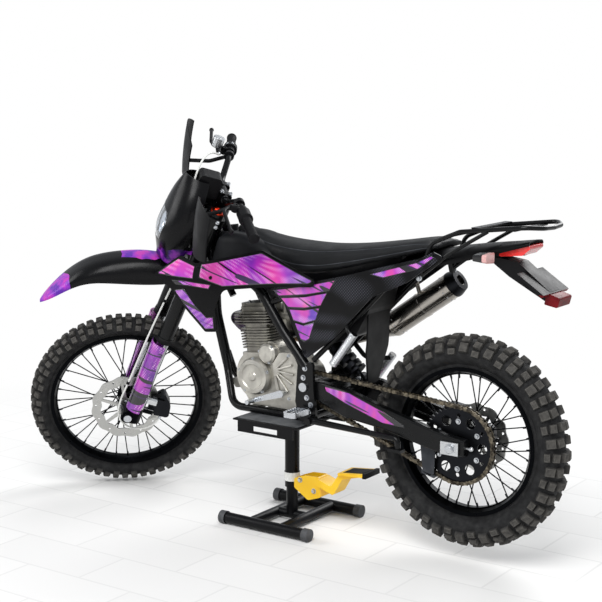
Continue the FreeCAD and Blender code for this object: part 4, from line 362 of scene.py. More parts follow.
def coated(name, colour, roughness, codes=None, gloss=0.5, bumps=(2.5, 0.03, 2.0)):
    """Powder coat: baked polyester powder, an even colour with a soft orange-peel surface."""
    return finish(name, colour, roughness, 0.0, gloss, bumps, (60, roughness - 0.05, roughness + 0.07),
                  codes and (90, codes))[0]


def moulded(name, colour, roughness, codes=None, size=1.2, gloss=0.13):
    """Injection-moulded polypropylene: a fine spark-eroded grain, drawn at 1.2 mm so that it shows."""
    return finish(name, colour, roughness, 0.0, gloss, (size, 0.05, 2.0),
                  (45, roughness - 0.06, roughness + 0.08), codes and (60, codes))[0]


def metal(name, colour, low, high, size=0.9, depth=0.02, codes=None):
    """Bare or plated metal: its roughness and tone vary a little with the finish."""
    return finish(name, colour, (low + high) / 2, 1.0, bumps=(size, depth, 2.0), wear=(30, low, high),
                  tones=codes and (45, codes))[0]


def cast(name, codes, metallic, low, high):
    """Sand-cast aluminium: warm grey, fine pebble surface, a little darker where oil mist has settled."""
    return finish(name, codes[1], (low + high) / 2, metallic, bumps=(1.4, 0.1, 4.0), wear=(26, low, high),
                  tones=(38, codes))[0]


def tyre_rubber():
    """Vulcanised tyre compound: near-black, matt, dusty grey where the blocks are scuffed."""
    material, tree, shader, place, below = finish(
        "vulcanised_tyre_rubber", "#1c1c1d", 0.78, gloss=0.3, bumps=(2.2, 0.16, 5.0), wear=(20, 0.6, 0.88),
        tones=(22, ["#0e0e0f", "#161617", "#212121"]))
    worn = add(tree, "Attribute", attribute_name="scuff").outputs["Fac"]
    patchy = noise(tree, place, 90.0, 3.0)
    over(tree, shader, below, maths(tree, "MULTIPLY", worn, patchy), "#625f5a")
    return material


def stainless_pipe():
    """Brushed stainless steel: straw and brown heat tint near the cylinder, warm grey further back."""
    material, tree, shader, place, _ = finish("heat_tinted_stainless_steel", "#8f867b", 0.3, 1.0,
                                              wear=(40, 0.16, 0.28))
    split = add(tree, "SeparateXYZ", {"Vector": place})
    along = mapped(tree, split.outputs["X"], -0.2, 0.62)
    add(tree, "ValToRGB", {"Fac": along}, [(0.0, "#4d4152"), (0.12, "#6f5638"), (0.35, "#8d857a"),
                                           (0.6, "#aba69f"), (1.0, "#a29d96")], shader.inputs["Base Color"])
    brushed = add(tree, "Mapping", {"Vector": place, "Scale": (60, 1400, 1400), "Rotation": (0, 0.62, 0)})
    lines = noise(tree, brushed, 1.0, 2.0)
    add(tree, "Bump", {"Height": lines, "Distance": 0.03 * MM}, to=shader.inputs["Normal"])
    return material


def seat_vinyl():
    """Gripper vinyl: coated knit with a small raised grain, drawn at 2.4 mm so that it shows."""
    material, tree, shader, place, _ = finish("charcoal_gripper_vinyl", "#101112", 0.52, gloss=0.2,
                                              wear=(70, 0.48, 0.66), tones=(120, ["#101113", "#17181a"]))
    cells = add(tree, "TexVoronoi", {"Vector": place, "Scale": 1 / (2.4 * MM), "Randomness": 0.35})
    add(tree, "Bump", {"Height": cells, "Distance": 0.25 * MM}, to=shader.inputs["Normal"])
    return material


def rear_lens():
    """Moulded acrylic: red over the tail lamp, pale rose on the signals at the sides, black on their stalks."""
    material, tree, shader, place, _ = finish("red_and_rose_acrylic_lens", "#b00d18", 0.12,
                                              **{"Coat Weight": 0.3, "Coat Roughness": 0.05})
    ribs = add(tree, "TexWave", {"Vector": place, "Scale": 38.0}, bands_direction="Y").outputs["Fac"]
    colour = add(tree, "ValToRGB", {"Fac": ribs}, [(0.0, "#8a0710"), (0.6, "#d3141d"), (1.0, "#f0302c")])
    split = add(tree, "SeparateXYZ", {"Vector": place})
    out = maths(tree, "ABSOLUTE", split.outputs["Y"])
    stalk = maths(tree, "GREATER_THAN", out, TAIL_LAMP_HALF * MM)
    behind = maths(tree, "GREATER_THAN", split.outputs["X"], SIGNAL_START * MM)
    signal = maths(tree, "MULTIPLY", stalk, behind)
    below = over(tree, shader, colour, stalk, "#08080a")
    over(tree, shader, below, signal, "#cf9f9c")
    add(tree, "Bump", {"Height": ribs, "Distance": 0.3 * MM}, to=shader.inputs["Normal"])
    return material


def dot_mesh(tree, place, step, rim, most, patches, shown):
    """How much of a dot is at each point: rows a step apart at 45 degrees, faded at the rim, in patches."""
    turned = add(tree, "Mapping", {"Vector": place, "Rotation": (0, radians(45), 0)})
    cells = add(tree, "TexVoronoi", {"Vector": turned, "Scale": 1 / (step * MM), "Randomness": 0.0})
    dots = mapped(tree, cells, *rim, most, 0.0)
    return maths(tree, "MULTIPLY", dots, mapped(tree, noise(tree, place, patches, 1.0), *shown))


def dotted_plastic():
    """Black vinyl over the side panels, printed with a staggered mesh of grey dots 7 mm apart."""
    material, tree, shader, place, below = finish("dot_printed_black_vinyl", "#0d0d10", 0.3, gloss=0.16,
                                                  tones=(70, ["#070708", "#0c0c0e"]))
    over(tree, shader, below, dot_mesh(tree, place, 7.0, (0.34, 0.42), 1.0, 9.0, (0.44, 0.6)), "#3c3d44")
    return material


# Slashes on the films: slant in degrees, stretch, the noise's values where one starts and is full, colour
SLASHES = [(-24, (2.2, 2.2, 34.0), 0.655, 0.668, "#0c0810"), (-17, (5.0, 5.0, 90.0), 0.68, 0.70, "#2a1240")]


def printed_film(name, stops, size=150.0, dot=4.6, rimmed=True):
    """Printed vinyl film under a gloss laminate: colours that run into each other, dots and slanted slashes.

    The film's own attribute "edge" is the distance to its rim in metres, and the print has a black line there.
    """
    material, tree, shader, place, _ = finish(name, stops[len(stops) // 2][1], 0.22,
                                              **{"Coat Weight": 0.7, "Coat Roughness": 0.1})
    slanted = add(tree, "Mapping", {"Vector": place, "Rotation": (0, radians(38), 0), "Scale": (1, 1, 0.45)})
    cloud = noise(tree, slanted, 1 / (size * MM), 2.5, Distortion=0.7)
    colour = add(tree, "ValToRGB", {"Fac": cloud}, stops)
    dots = dot_mesh(tree, place, dot, (0.25, 0.45), 0.7, 14.0, (0.38, 0.55))
    below = over(tree, shader, colour, dots, "#f6b8ec")
    for slant, stretch, start, full, code in SLASHES:
        turned = add(tree, "Mapping", {"Vector": place, "Rotation": (0, radians(slant), 0)})
        drawn = add(tree, "Mapping", {"Vector": turned, "Scale": stretch})
        cut = mapped(tree, noise(tree, drawn, 1.0, 0.0), start, full)
        below = over(tree, shader, below, cut, code)
    if rimmed:
        edge = add(tree, "Attribute", attribute_name="edge").outputs["Fac"]
        over(tree, shader, below, mapped(tree, edge, 2.2 * MM, 3.2 * MM, 1.0, 0.0), "#0a0a0c")
    return material


def patched(name, base, patches, codes, roughness=0.26, ragged=0.0, metallic=0.0, gloss=0.16):
    """One finish with patches of another colour where all of a patch's bounds hold.

    A bound is (direction, low, high): the distance in millimetres along that direction from the frame's origin.
    Ragged bounds wander by that many millimetres; the patches' colour drifts between the codes.
    """
    material, tree, shader, place, _ = finish(name, base, roughness, metallic, gloss, (2.0, 0.012, 2.0),
                                              (50, roughness - 0.05, roughness + 0.08))
    shift = mapped(tree, noise(tree, place, 12.0, 1.0), 0.0, 1.0, -ragged * MM, ragged * MM)
    wandered = add(tree, "VectorMath", {0: place, 1: shift}, operation="ADD")
    cloud = noise(tree, place, 1 / (40 * MM), 3.0)
    colour = add(tree, "ValToRGB", {"Fac": cloud}, ramped(codes, 0.36, 0.64))
    below = linear(base)
    for bounds in patches:
        share = 1.0
        for direction, low, high in bounds:
            along = add(tree, "VectorMath", {0: wandered, 1: direction}, operation="DOT_PRODUCT")
            above = maths(tree, "GREATER_THAN", along, low * MM)
            under = maths(tree, "LESS_THAN", along, high * MM)
            share = maths(tree, "MULTIPLY", maths(tree, "MULTIPLY", above, under), share)
        below = over(tree, shader, below, share, colour)
    return material


# Enamels and mouldings: black ones stay above pure black, so that their gloss still reads as a surface
frame_paint = coated("satin_black_frame_enamel", "#08090a", 0.24, ["#070708", "#0b0c0d"], 0.22)
stand_yellow = coated("yellow_powder_coat", "#f4c318", 0.34, ["#efba10", "#f8cb22"], bumps=(3.0, 0.05, 2.0))
black_moulding = moulded("black_moulded_polypropylene", "#08080a", 0.3, ["#070708", "#0b0b0d"])
matt_moulding = moulded("matt_black_moulded_nylon", "#0b0b0d", 0.46)
grey_moulding = moulded("grey_moulded_polypropylene", "#3b3d41", 0.5, ["#313337", "#46484c"])
tank_moulding = moulded("charcoal_moulded_polyethylene", "#17181a", 0.42, ["#131416", "#1c1d20"])
display_window = moulded("smoked_display_window", "#0a1210", 0.08)
rubber_soft = moulded("moulded_nitrile_rubber", "#121214", 0.6, size=1.0)
hose_white = moulded("white_braid_sleeve", "#dcdcd8", 0.4, size=1.6)
# Bare, plated, cast and dyed metals
machined = metal("machined_aluminium", "#c9cbcd", 0.24, 0.38, 0.6, 0.01)
zinc = metal("bright_zinc_plated_steel", "#c3c6ca", 0.2, 0.34, 0.8, 0.01)
black_oxide = metal("black_oxide_steel", "#232427", 0.35, 0.5)
black_dyed = metal("black_anodised_aluminium", "#0d0e10", 0.26, 0.4, 0.8, 0.01)
anodised_red = metal("orange_red_anodised_aluminium", "#d43a1c", 0.25, 0.35, 0.6, 0.01)
mirror_coat = metal("vacuum_metallised_reflector", "#dfe2e6", 0.05, 0.1, 4.0, 0.002)
bronze = metal("oiled_bronze_casting", "#7a5a2c", 0.35, 0.5, 1.2, 0.05, ["#5a431f", "#8a6835"])
silver_casting = cast("silver_enamelled_casting", ["#a5a29a", "#b3b0a8", "#c3c0b7"], 0.72, 0.3, 0.46)
finned_casting = cast("bare_finned_casting", ["#6f6c66", "#84817a", "#989589"], 0.85, 0.28, 0.42)
chain_steel = finish("oiled_roller_chain_steel", "#5f594d", 0.38, 1.0, bumps=(0.8, 0.02, 2.0),
                     tones=(14, ["#2b2722", "#575147", "#847b6a"]))[0]
disc_steel = finish("ground_stainless_disc", "#b9b9b6", 0.3, 1.0, bumps=(0.7, 0.015, 2.0), wear=(25, 0.22, 0.4),
                    Anisotropic=0.5)[0]
stainless = stainless_pipe()
# Rubber, vinyl, lenses and printed films
rubber_tyre = tyre_rubber()
vinyl = seat_vinyl()
lamp_red = rear_lens()
lens_clear = finish("clear_polycarbonate_lens", "#e9edf2", 0.03, **{"Transmission Weight": 1.0, "IOR": 1.58})[0]
VIOLETS = [(0.30, "#4f2a9e"), (0.40, "#842cac"), (0.51, "#b22fae"), (0.62, "#cf3596"), (0.74, "#e8506c")]
shroud_print = printed_film("violet_to_coral_printed_film", VIOLETS)
panel_print = printed_film("violet_printed_film", [(0.34, "#5a2aa6"), (0.5, "#ab30ae"), (0.66, "#cb3c92")],
                           60.0)
guard_print = printed_film("honeycomb_printed_film", [(0.34, "#5b2488"), (0.5, "#8a2ca4"), (0.66, "#ac37a8")],
                           90.0, 7.5, rimmed=False)
dotted = dotted_plastic()

# Pieces in two colours; a patch reaches past the piece where it has no bound of its own
UP, BACK, RIGHT = (0, 0, 1), (1, 0, 0), (0, 1, 0)
FORWARD = (-cos(LOCK), -sin(LOCK), 0)
FORK_AXIS = (sin(RAKE), 0, cos(RAKE))
fender_print = patched("black_gloss_fender_film", "#08080a",
                       [[(FORWARD, 745, 900), (UP, 700, 900)], [(FORWARD, 330, 560), (UP, 884, 980)]],
                       ["#5b2a9c", "#8f34b4", "#b83aa8"], 0.24, 26.0)
mask_print = patched("black_gloss_mask_film", "#08080a", [[(UP, 860, 925)]], ["#12061c", "#3a1466", "#8a30a8"],
                     0.24, 30.0)
slider_steel = patched("chromed_slider_and_black_foot", "#0d0e10", [[(FORK_AXIS, 18, 900)]],
                       ["#b9bbbd", "#d0d2d4"], 0.16, metallic=1.0, gloss=0.5)
hanger_plastic = patched("black_hanger_and_red_reflector", "#0c0c0e", [[(BACK, 939, 1000), (UP, 800, 884)]],
                         ["#4f070d", "#6d0b13"], 0.4)
post_paint = patched("black_post_and_white_sleeve", "#09090b", [[(UP, 144, 174)]], ["#deded9", "#ecebe7"], 0.28)
foot_paint = patched("black_feet_and_grey_caps", "#09090b", [[(BACK, 158.7, 400)], [(BACK, -400, -158.7)]],
                     ["#3c3d3f", "#505153"], 0.34)
deck_paint = patched("black_deck_and_rubber_pads", "#09090b", [[(UP, 374.3, 400)]], ["#56585a", "#6b6d6f"], 0.34)

# A finish for every carried-over piece
FINISHES = {
    frame_paint: ["main_frame", "subframe", "swingarm", "luggage_rack", "side_stand", "passenger_pegs",
                  "handlebar", "triple_clamps", "fork_tubes"],
    silver_casting: ["crankcase", "engine_covers"],
    finned_casting: ["cylinder_barrel", "cylinder_head", "carburettor"],
    stainless: ["exhaust_header", "muffler"],
    black_moulding: ["rear_fender", "shroud_left", "shroud_right"],
    matt_moulding: ["airbox", "hand_guards", "instrument", "hand_controls"],
    tank_moulding: ["fuel_tank"],
    vinyl: ["seat"],
    dotted: ["side_panel_left", "side_panel_right"],
    fender_print: ["front_fender"],
    mask_print: ["headlamp_mask"],
    guard_print: ["fork_guards"],
    lamp_red: ["rear_lamps"],
    hanger_plastic: ["plate_hanger"],
    lens_clear: ["headlamp"],
    slider_steel: ["fork_sliders"],
    black_dyed: ["bar_clamps", "front_wheel", "rear_wheel"],
    zinc: ["pivot_bolts", "rear_axle", "front_axle", "footpegs", "foot_levers"],
    black_oxide: ["rear_sprocket", "rear_caliper", "front_caliper", "shock_absorber"],
    chain_steel: ["drive_chain"],
    disc_steel: ["front_disc", "rear_disc"],
    rubber_tyre: ["front_tyre", "rear_tyre"],
    rubber_soft: ["grips"],
    hose_white: ["brake_hose"],
    foot_paint: ["lift_stand_base"],
    post_paint: ["lift_stand_post"],
    deck_paint: ["lift_stand_deck"],
    stand_yellow: ["lift_stand_pedal"],
}
for material, names in FINISHES.items():
    for name in names:
        for holder in nodes[name].material_slots:
            holder.material = material


def put(name, shapes, material=zinc, body="root", smooth=35.0):
    """Several shapes as one piece; those on the front end are drawn in the steering frame."""
    points, faces = joined(shapes)
    if body in ("steering", "front_wheel"):
        points = steered(points)
    return make(name, (points, faces), material, body, smooth)


# Camera, then the brake hose

def camera():
    """The photograph's view, found from the wheels' outlines: 85.9 mm lens on a 36 mm wide sensor."""
    lens = bpy.data.cameras.new("photo_view")
    lens.lens = 85.9
    lens.sensor_width = 36.0
    lens.clip_end = 60.0
    eye = placed("photo_view", lens)
    eye.location = (2.733, -3.907, 1.549)
    pitch, roll, yaw = 0.163, -0.003, 0.605
    eye.rotation_euler = (pi / 2 - pitch, roll, yaw)
    bpy.context.scene.camera = eye


# The hose has the part's own route, in the steering frame; a clip holds it at three of its points
HOSE_LENGTH, HOSE_RADIUS = 1.393, 3.5
HOSE_CLIPS = np.array((9, 12, 16))
HOSE_ROUTE = [
    (-34, 198, 945), (-36, 174, 948), (-52, 146, 960), (-82, 106, 972), (-108, 56, 962), (-120, 14, 926),
    (-120, -16, 876), (-108, -42, 822), (-88, -62, 764), (-68, -72, 704), (-65, -78, 640), (-70, -84, 556),
    (-77, -90, 470), (-83, -95, 380), (-87, -98, 290), (-88, -100, 200), (-90, -103, 120), (-94, -105, 50),
    (-86, -106, -8), (-56, -105, -46), (-8, -103, -58), (38, -98, -44), (66, -88, -16), (72, -80, 13.2),
]


def brake_hose():
    """The white sleeved hose as a bevelled curve, with a crimped collar at each end and three clips."""
    route = steered(HOSE_ROUTE)
    line = bpy.data.curves.new("brake_hose_line", "CURVE")
    line.dimensions = "3D"
    spline = line.splines.new("NURBS")
    spline.points.add(len(route) - 1)
    spline.points.foreach_set("co", np.column_stack((route * MM, np.ones(len(route)))).ravel())
    spline.order_u = 3
    spline.use_endpoint_u = True
    spline.resolution_u = 8
    line.bevel_depth = HOSE_RADIUS * MM
    line.bevel_resolution = 4
    line.use_fill_caps = True
    line.materials.append(hose_white)
    hose = placed("brake_hose_line", line)
    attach(hose, "steering")
    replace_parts(hose, "brake_hose")
    collar = lathe([(3.2, 0), (5.4, 0.5), (5.4, 12), (4.2, 14), (3.2, 15)], 16)
    starts = route[[0, -1]]
    ways = np.array((route[1] - route[0], route[-2] - route[-1]))
    fittings = make("hose_fittings", repeated(collar, starts, axes_along(ways)), zinc, "steering")
    clip = lathe([(3.3, -5), (5.8, -5), (6.2, -3), (6.2, 3), (5.8, 5), (3.3, 5)], 18)
    before, after = route[HOSE_CLIPS - 1], route[HOSE_CLIPS + 1]
    near = (after + before + 6 * route[HOSE_CLIPS]) / 8
    clips = make("hose_clips", repeated(clip, near, axes_along(after - before)), matt_moulding, "steering")


camera()
brake_hose()


# Tyres

def lug(length, width, height, chamfer=1.2, dish=0.8):
    """A tyre block with its foot in the carcass: sides that lean in, a chamfered rim and a dished top."""
    levels = [(2.6, -5.0), (0.3, height - chamfer), (-chamfer, height), (-chamfer - 2.0, height),
              (-chamfer - 3.0, height - dish)]
    rings = []
    for grow, level in levels:
        x, y = length / 2 + grow, width / 2 + grow
        rings.append([(x, y, level), (-x, y, level), (-x, -y, level), (x, -y, level)])
    return grid_shape(np.array(rings)[:, ::-1], wrap_columns=True, caps=True)


def tyre_shape(middle, half, rise, fall, rim_seat, bead, rows, lugs):
    """A carcass turned about Y, with blocks standing on it, and each point's scuff from 0 to 1.

    The section at an angle a from the crown is (middle + rise * cos a) out from the axle and half * sin a to
    the side, with fall in place of rise below the widest point. Each block stands along the section's normal.
    """
    foot, around = pi - np.arcsin(bead / half), 144
    a = np.linspace(-foot, foot, 41)
    out = middle + np.where(np.cos(a) > 0, rise, fall) * np.cos(a)
    side = half * np.sin(a)
    out = np.concatenate((out, [rim_seat + 3, rim_seat, rim_seat, rim_seat + 3]))
    side = np.concatenate((side, [bead, bead - 2, 2 - bead, -bead]))
    turn = np.arange(around)[:, None] * 2 * pi / around
    grid = np.stack((out * np.cos(turn), np.broadcast_to(side, (around, len(side))), out * np.sin(turn)), -1)
    shapes = [grid_shape(grid[:, ::-1], wrap_rows=True, wrap_columns=True)]
    scuffs = [np.zeros(grid.shape[0] * grid.shape[1])]
    for first, every, at, skew, block in lugs:
        t = np.arange(first, rows, every) * 2 * pi / rows
        for way in (SIDES if at else (1,)):
            angle = way * radians(at)
            foot_out, foot_side = middle + rise * cos(angle), half * sin(angle)
            lean = atan2(sin(angle) / half, cos(angle) / rise)
            radial = np.stack((np.cos(t), 0 * t, np.sin(t)), -1)
            ahead = np.stack((-np.sin(t), 0 * t, np.cos(t)), -1)
            normal = radial * cos(lean) + np.array((0, 1, 0)) * sin(lean)
            across = np.cross(normal, ahead)
            twist = way * radians(skew)
            first_axis = ahead * cos(twist) + across * sin(twist)
            axes = np.stack((first_axis, np.cross(normal, first_axis), normal), 1)
            places = radial * foot_out + np.array((0, 1, 0)) * foot_side
            shapes.append(repeated(block, places, axes))
            scuffs.append(np.tile(np.clip(block[0][:, 2] / block[0][:, 2].max(), 0, 1) ** 3, len(t)))
    return joined(shapes), np.concatenate(scuffs)


REAR_LUGS = [
    (0, 2, 13.0, 5, lug(25, 21, 15.5)), (1, 2, 30.0, -8, lug(25, 22, 14.5)),
    (0, 2, 46.0, 6, lug(24, 20, 13.0)), (1, 2, 62.0, 0, lug(26, 28, 11.5)), (0, 2, 78.0, 0, lug(24, 18, 8.0)),
]
FRONT_LUGS = [
    (0, 2, 16.0, 6, lug(19, 15, 13.0)), (1, 2, 36.0, -9, lug(18, 16, 12.5)),
    (0, 2, 56.0, 5, lug(19, 19, 10.5)), (1, 2, 72.0, 0, lug(19, 18, 8.5)),
    (1, 2, 0.0, 0, lug(18, 13, 12.5)),
]


def about(axle, shape):
    """A shape drawn about the origin, moved to an axle at (x, z)."""
    return shape[0] + np.array((axle[0], 0, axle[1])), shape[1]


def tread(wheel, axle, *tyre):
    """A finished tyre with its scuff attribute, in place of the part's."""
    shape, scuff = tyre_shape(*tyre)
    piece = put(f"{wheel}_tyre_tread", [about(axle, shape)], rubber_tyre, f"{wheel}_wheel", 28)
    piece.data.attributes.new("scuff", "FLOAT", "POINT").data.foreach_set("value", scuff)
    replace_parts(piece, f"{wheel}_tyre")


def nipples(rim_radius):
    """Spoke nipples on the rim's inner face, in turn to each side as the part's spokes are."""
    i = np.arange(SPOKES)
    t = i * 2 * pi / SPOKES
    side = np.where(i % 2, 1, -1) * (4.0 + np.where((i // 2) % 2, 1, -1) * 1.6)
    outward = np.stack((np.cos(t), 0 * t, np.sin(t)), -1)
    places = outward * rim_radius + np.stack((0 * t, side, 0 * t), -1)
    return repeated(lathe([(3.4, -1), (3.4, 8), (2.6, 10), (2.4, 13)], 8), places, axes_along(-outward))


tread("rear", REAR_AXLE, *REAR_CARCASS, REAR_RIM_SEAT, REAR_BEAD, REAR_ROWS, REAR_LUGS)
tread("front", FRONT_AXLE, *FRONT_CARCASS, FRONT_RIM_SEAT, FRONT_BEAD, FRONT_ROWS, FRONT_LUGS)
put("rear_spoke_nipples", [about(REAR_AXLE, nipples(REAR_RIM_FACE))], black_oxide, "rear_wheel")
put("front_spoke_nipples", [about(FRONT_AXLE, nipples(FRONT_RIM_FACE))], black_oxide, "front_wheel")


# Chain

PLATE_THICKNESS, PLATE_RADIUS, PLATE_WAIST = 1.9, 7.2, 5.0
INNER_PLATE, OUTER_PLATE = 5.3, 7.4
ARC_POINTS = 3000


def pitch_radius(teeth):
    """Radius of the circle that the chain's pins lie on round a sprocket."""
    return CHAIN_PITCH / (2 * sin(pi / teeth))


def chain_places():
    """Pins of the chain: even steps round a loop of two arcs, each centre + pitch radius * (cos a, sin a), that
    end where the circles' common tangents touch them, with the tangents between."""
    drive, wheel = np.array(DRIVE), np.array(REAR_AXLE)
    small, big = pitch_radius(DRIVE_TEETH), pitch_radius(REAR_TEETH)
    gap = wheel - drive
    slope, lean = atan2(gap[1], gap[0]), acos((small - big) / hypot(*gap))
    back = np.linspace(slope + lean, slope - lean, ARC_POINTS)[:, None]
    front = np.linspace(slope - lean, slope + lean - 2 * pi, ARC_POINTS)[:, None]
    loop = np.vstack((
        drive + small * np.array((cos(slope + lean), sin(slope + lean))),
        wheel + big * np.hstack((np.cos(back), np.sin(back))),
        drive + small * np.hstack((np.cos(front), np.sin(front))),
    ))
    length = np.linalg.norm(np.diff(loop, axis=0), axis=1).sum()
    count = 2 * round(length / CHAIN_PITCH / 2)
    return even_steps(loop, count + 1)[:-1]


def link_plate(thickness, radius, waist):
    """A waisted side plate: round ends half a pitch each way from its middle, drawn in between them."""
    turn = np.linspace(-0.38 * pi, 0.38 * pi, 7)
    end = np.stack((CHAIN_PITCH / 2 + radius * np.cos(turn), radius * np.sin(turn)), -1)
    outline = np.vstack((end, [(0.0, waist)], -end, [(0.0, -waist)]))
    return prism(outline, -thickness / 2, thickness / 2)


def chain_shape():
    """Inner and outer plates in turn, with a roller and a pin at each joint."""
    pins = chain_places()
    after = np.roll(pins, -1, axis=0)
    middle, along = (pins + after) / 2, after - pins
    along /= np.linalg.norm(along, axis=1, keepdims=True)
    zero = np.zeros(len(pins))
    first = np.stack((along[:, 0], zero, along[:, 1]), -1)
    second = np.stack((-along[:, 1], zero, along[:, 0]), -1)
    axes = np.stack((first, second, np.cross(first, second)), 1)
    shapes = []
    plate = link_plate(PLATE_THICKNESS, PLATE_RADIUS, PLATE_WAIST)
    for start, offset in ((0, INNER_PLATE), (1, OUTER_PLATE)):
        for way in SIDES:
            places = np.stack((middle[:, 0], zero + CHAIN_Y + way * offset, middle[:, 1]), -1)[start::2]
            shapes.append(repeated(plate, places, axes[start::2]))
    roller = lathe([(5.0, -4.2), (5.0, 4.2)], 12)
    pin = lathe([(2.0, -9.2), (2.6, -8.8), (2.6, 8.8), (2.0, 9.2)], 10)
    places = np.stack((pins[:, 0], zero + CHAIN_Y, pins[:, 1]), -1)
    upright = np.array(((1, 0, 0), (0, 0, -1), (0, 1, 0)), float)
    shapes += [repeated(roller, places, upright), repeated(pin, places, upright)]
    return joined(shapes)


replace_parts(make("chain_links", chain_shape(), chain_steel, "root", 40), "drive_chain")


# Seat

SEAT_STATIONS = [
    (-204, 36, 960, 1014, 8), (-120, 60, 926, 988, 10), (-40, 84, 900, 968, 12), (60, 110, 876, 957, 14),
    (170, 122, 880, 956, 14), (290, 126, 908, 968, 12), (420, 122, 944, 987, 12), (540, 112, 978, 1008, 10),
    (598, 92, 994, 1010, 8),
]
SEAT_SHRINK = 3.0
COVER_VOXEL, COVER_PRESSURE, COVER_FRAMES, COVER_SWELL = 6.0, 4.0, 20, 4.0
# Side seam's share of the seat's height and its depth, shoulder seam's share of its half width and its depth
SEAM_HEIGHT, SEAM_DEPTH, SHOULDER, SHOULDER_DEPTH = 0.42, 2.2, 0.80, 1.6


def seat_foam():
    """Rings along the seat, each y = half * sgn(cos t)|cos t|^0.42, z = middle + tall * sgn(sin t)|sin t|^0.42,
    with the crown added to the upper half in proportion to 1 - (y / half)^2."""
    x, half, low, high, crown = curve_points(SEAT_STATIONS, 72).T[:, :, None]
    half, low, high = half - SEAT_SHRINK, low + 1.5, high - SEAT_SHRINK + 1.0
    t = np.linspace(0, 2 * pi, 72, endpoint=False)
    y = half * np.sign(np.cos(t)) * np.abs(np.cos(t)) ** 0.42
    rise = np.sign(np.sin(t)) * np.abs(np.sin(t)) ** 0.42
    z = (low + high) / 2 + (high - low) / 2 * rise + crown * np.clip(rise, 0, 1) * (1 - (y / half) ** 2)
    grid = np.stack((np.broadcast_to(x, y.shape), y, z), -1)
    return grid_shape(grid, wrap_columns=True, caps=True)


def corners(piece):
    """A piece's corner points, in metres."""
    points = np.empty(len(piece.data.vertices) * 3, "f4")
    piece.data.vertices.foreach_get("co", points)
    return points.reshape(-1, 3).astype(float)


def padded_seat():
    """The foam under its cover: remeshed even, blown up a little by cloth pressure, its seam then drawn in."""
    piece = make("seat_pad", seat_foam(), vinyl, "root", 70)
    remesh = piece.modifiers.new("even", "REMESH")
    remesh.mode = "VOXEL"
    remesh.voxel_size = COVER_VOXEL * MM
    remesh.use_smooth_shade = True
    settled(piece)
    still = swollen = corners(piece)
    cloth = piece.modifiers.new("cover", "CLOTH")
    cloth.settings.quality = 5
    cloth.settings.use_pressure = True
    cloth.settings.uniform_pressure_force = COVER_PRESSURE
    cloth.settings.effector_weights.gravity = 0.0
    cloth.point_cache.frame_end = COVER_FRAMES
    for step in range(1, COVER_FRAMES + 1):
        bpy.context.scene.frame_set(step)
    settled(piece)
    bpy.context.scene.frame_set(1)
    move = corners(piece) - still
    reach = np.linalg.norm(move, axis=1, keepdims=True)
    swollen = still + move * np.minimum(1, COVER_SWELL * MM / np.maximum(reach, 1e-9))
    stations = curve_points(SEAT_STATIONS, 200)
    x, y, z = swollen.T / MM
    half, low, high = (np.interp(x, stations[:, 0], stations[:, i]) for i in (1, 2, 3))
    seam = low + SEAM_HEIGHT * (high - low)
    beside = np.clip((np.abs(y) - 0.7 * half) / (0.2 * half), 0, 1)
    groove = SEAM_DEPTH * np.exp(-((z - seam) / 4.0) ** 2) * beside
    welt = SHOULDER_DEPTH * np.exp(-((np.abs(y) - SHOULDER * half) / 4.0) ** 2) * np.clip((z - seam) / 12, 0, 1)
    swollen[:, 1] -= np.sign(swollen[:, 1]) * groove * MM
    swollen[:, 2] -= welt * MM
    piece.data.vertices.foreach_set("co", swollen.astype("f4").ravel())
    piece.data.shade_smooth()
    piece.modifiers.new("fine", "SUBSURF").levels = 1
    piece.modifiers["fine"].render_levels = 1
    settled(piece)
    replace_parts(piece, "seat")
    return piece


seat_pad = padded_seat()


def seat_piping():
    """Thin welts laid on the cover: one along each side seam and one over each shoulder."""
    stations = curve_points(SEAT_STATIONS, 90)[12:-4]
    lines = []
    for side in SIDES:
        seam = [((x, side * 260, low + SEAM_HEIGHT * (high - low)), (0, -side, 0))
                for x, _, low, high, _ in stations]
        shoulder = [((x, side * SHOULDER * half, high + 40), (0, 0, -1)) for x, half, _, high, _ in stations]
        for starts in (seam, shoulder):
            points = [met(seat_pad, start, way)[0] - 0.3 * np.array(way) for start, way in starts]
            lines.append(pipe(np.array(points), 1.3, 8))
    return joined(lines)


make("seat_piping", seat_piping(), grey_moulding, "root")


# A black sheet of painted shade in the gap under the seat's lower edges: where it runs, its inset, drop, fade,
# lean and wall
SHADE_SHEET_START, SHADE_SHEET_END = 70.0, 500.0
SHADE_SHEET_INSET, SHADE_SHEET_DROP, SHADE_SHEET_FADE, SHADE_SHEET_LEAN, SHADE_SHEET_WALL = 20.0, 44.0, 110.0, 8.0, 2.5


def gap_shade_sheet():
    """Painted shade: below each lower edge of the seat a thin black wall, leaning in towards its foot, that
    stands in for the shade in the gap there.
    """
    x, half, low = curve_points(SEAT_STATIONS, 120).T[:3]
    kept = (x > SHADE_SHEET_START) & (x < SHADE_SHEET_END)
    x, outer, top = x[kept], half[kept] - SHADE_SHEET_INSET, low[kept] + 6
    foot = low[kept] - SHADE_SHEET_DROP * np.clip((SHADE_SHEET_END - x) / SHADE_SHEET_FADE, 0.05, 1)
    walls = []
    for side in SIDES:
        ring = [(outer, top), (outer - SHADE_SHEET_LEAN, foot), (outer - SHADE_SHEET_LEAN - SHADE_SHEET_WALL, foot),
                (outer - SHADE_SHEET_WALL, top)]
        grid = np.stack([np.stack((x, side * y, z), -1) for y, z in ring], 1)
        walls.append(grid_shape(grid, wrap_columns=True, caps=True))
    # The thin black walls are painted shade under the seat's edges
    make("gap_shade_sheet", joined(walls), black_moulding, "root")


gap_shade_sheet()


# Films on the shrouds, side panels and swingarm

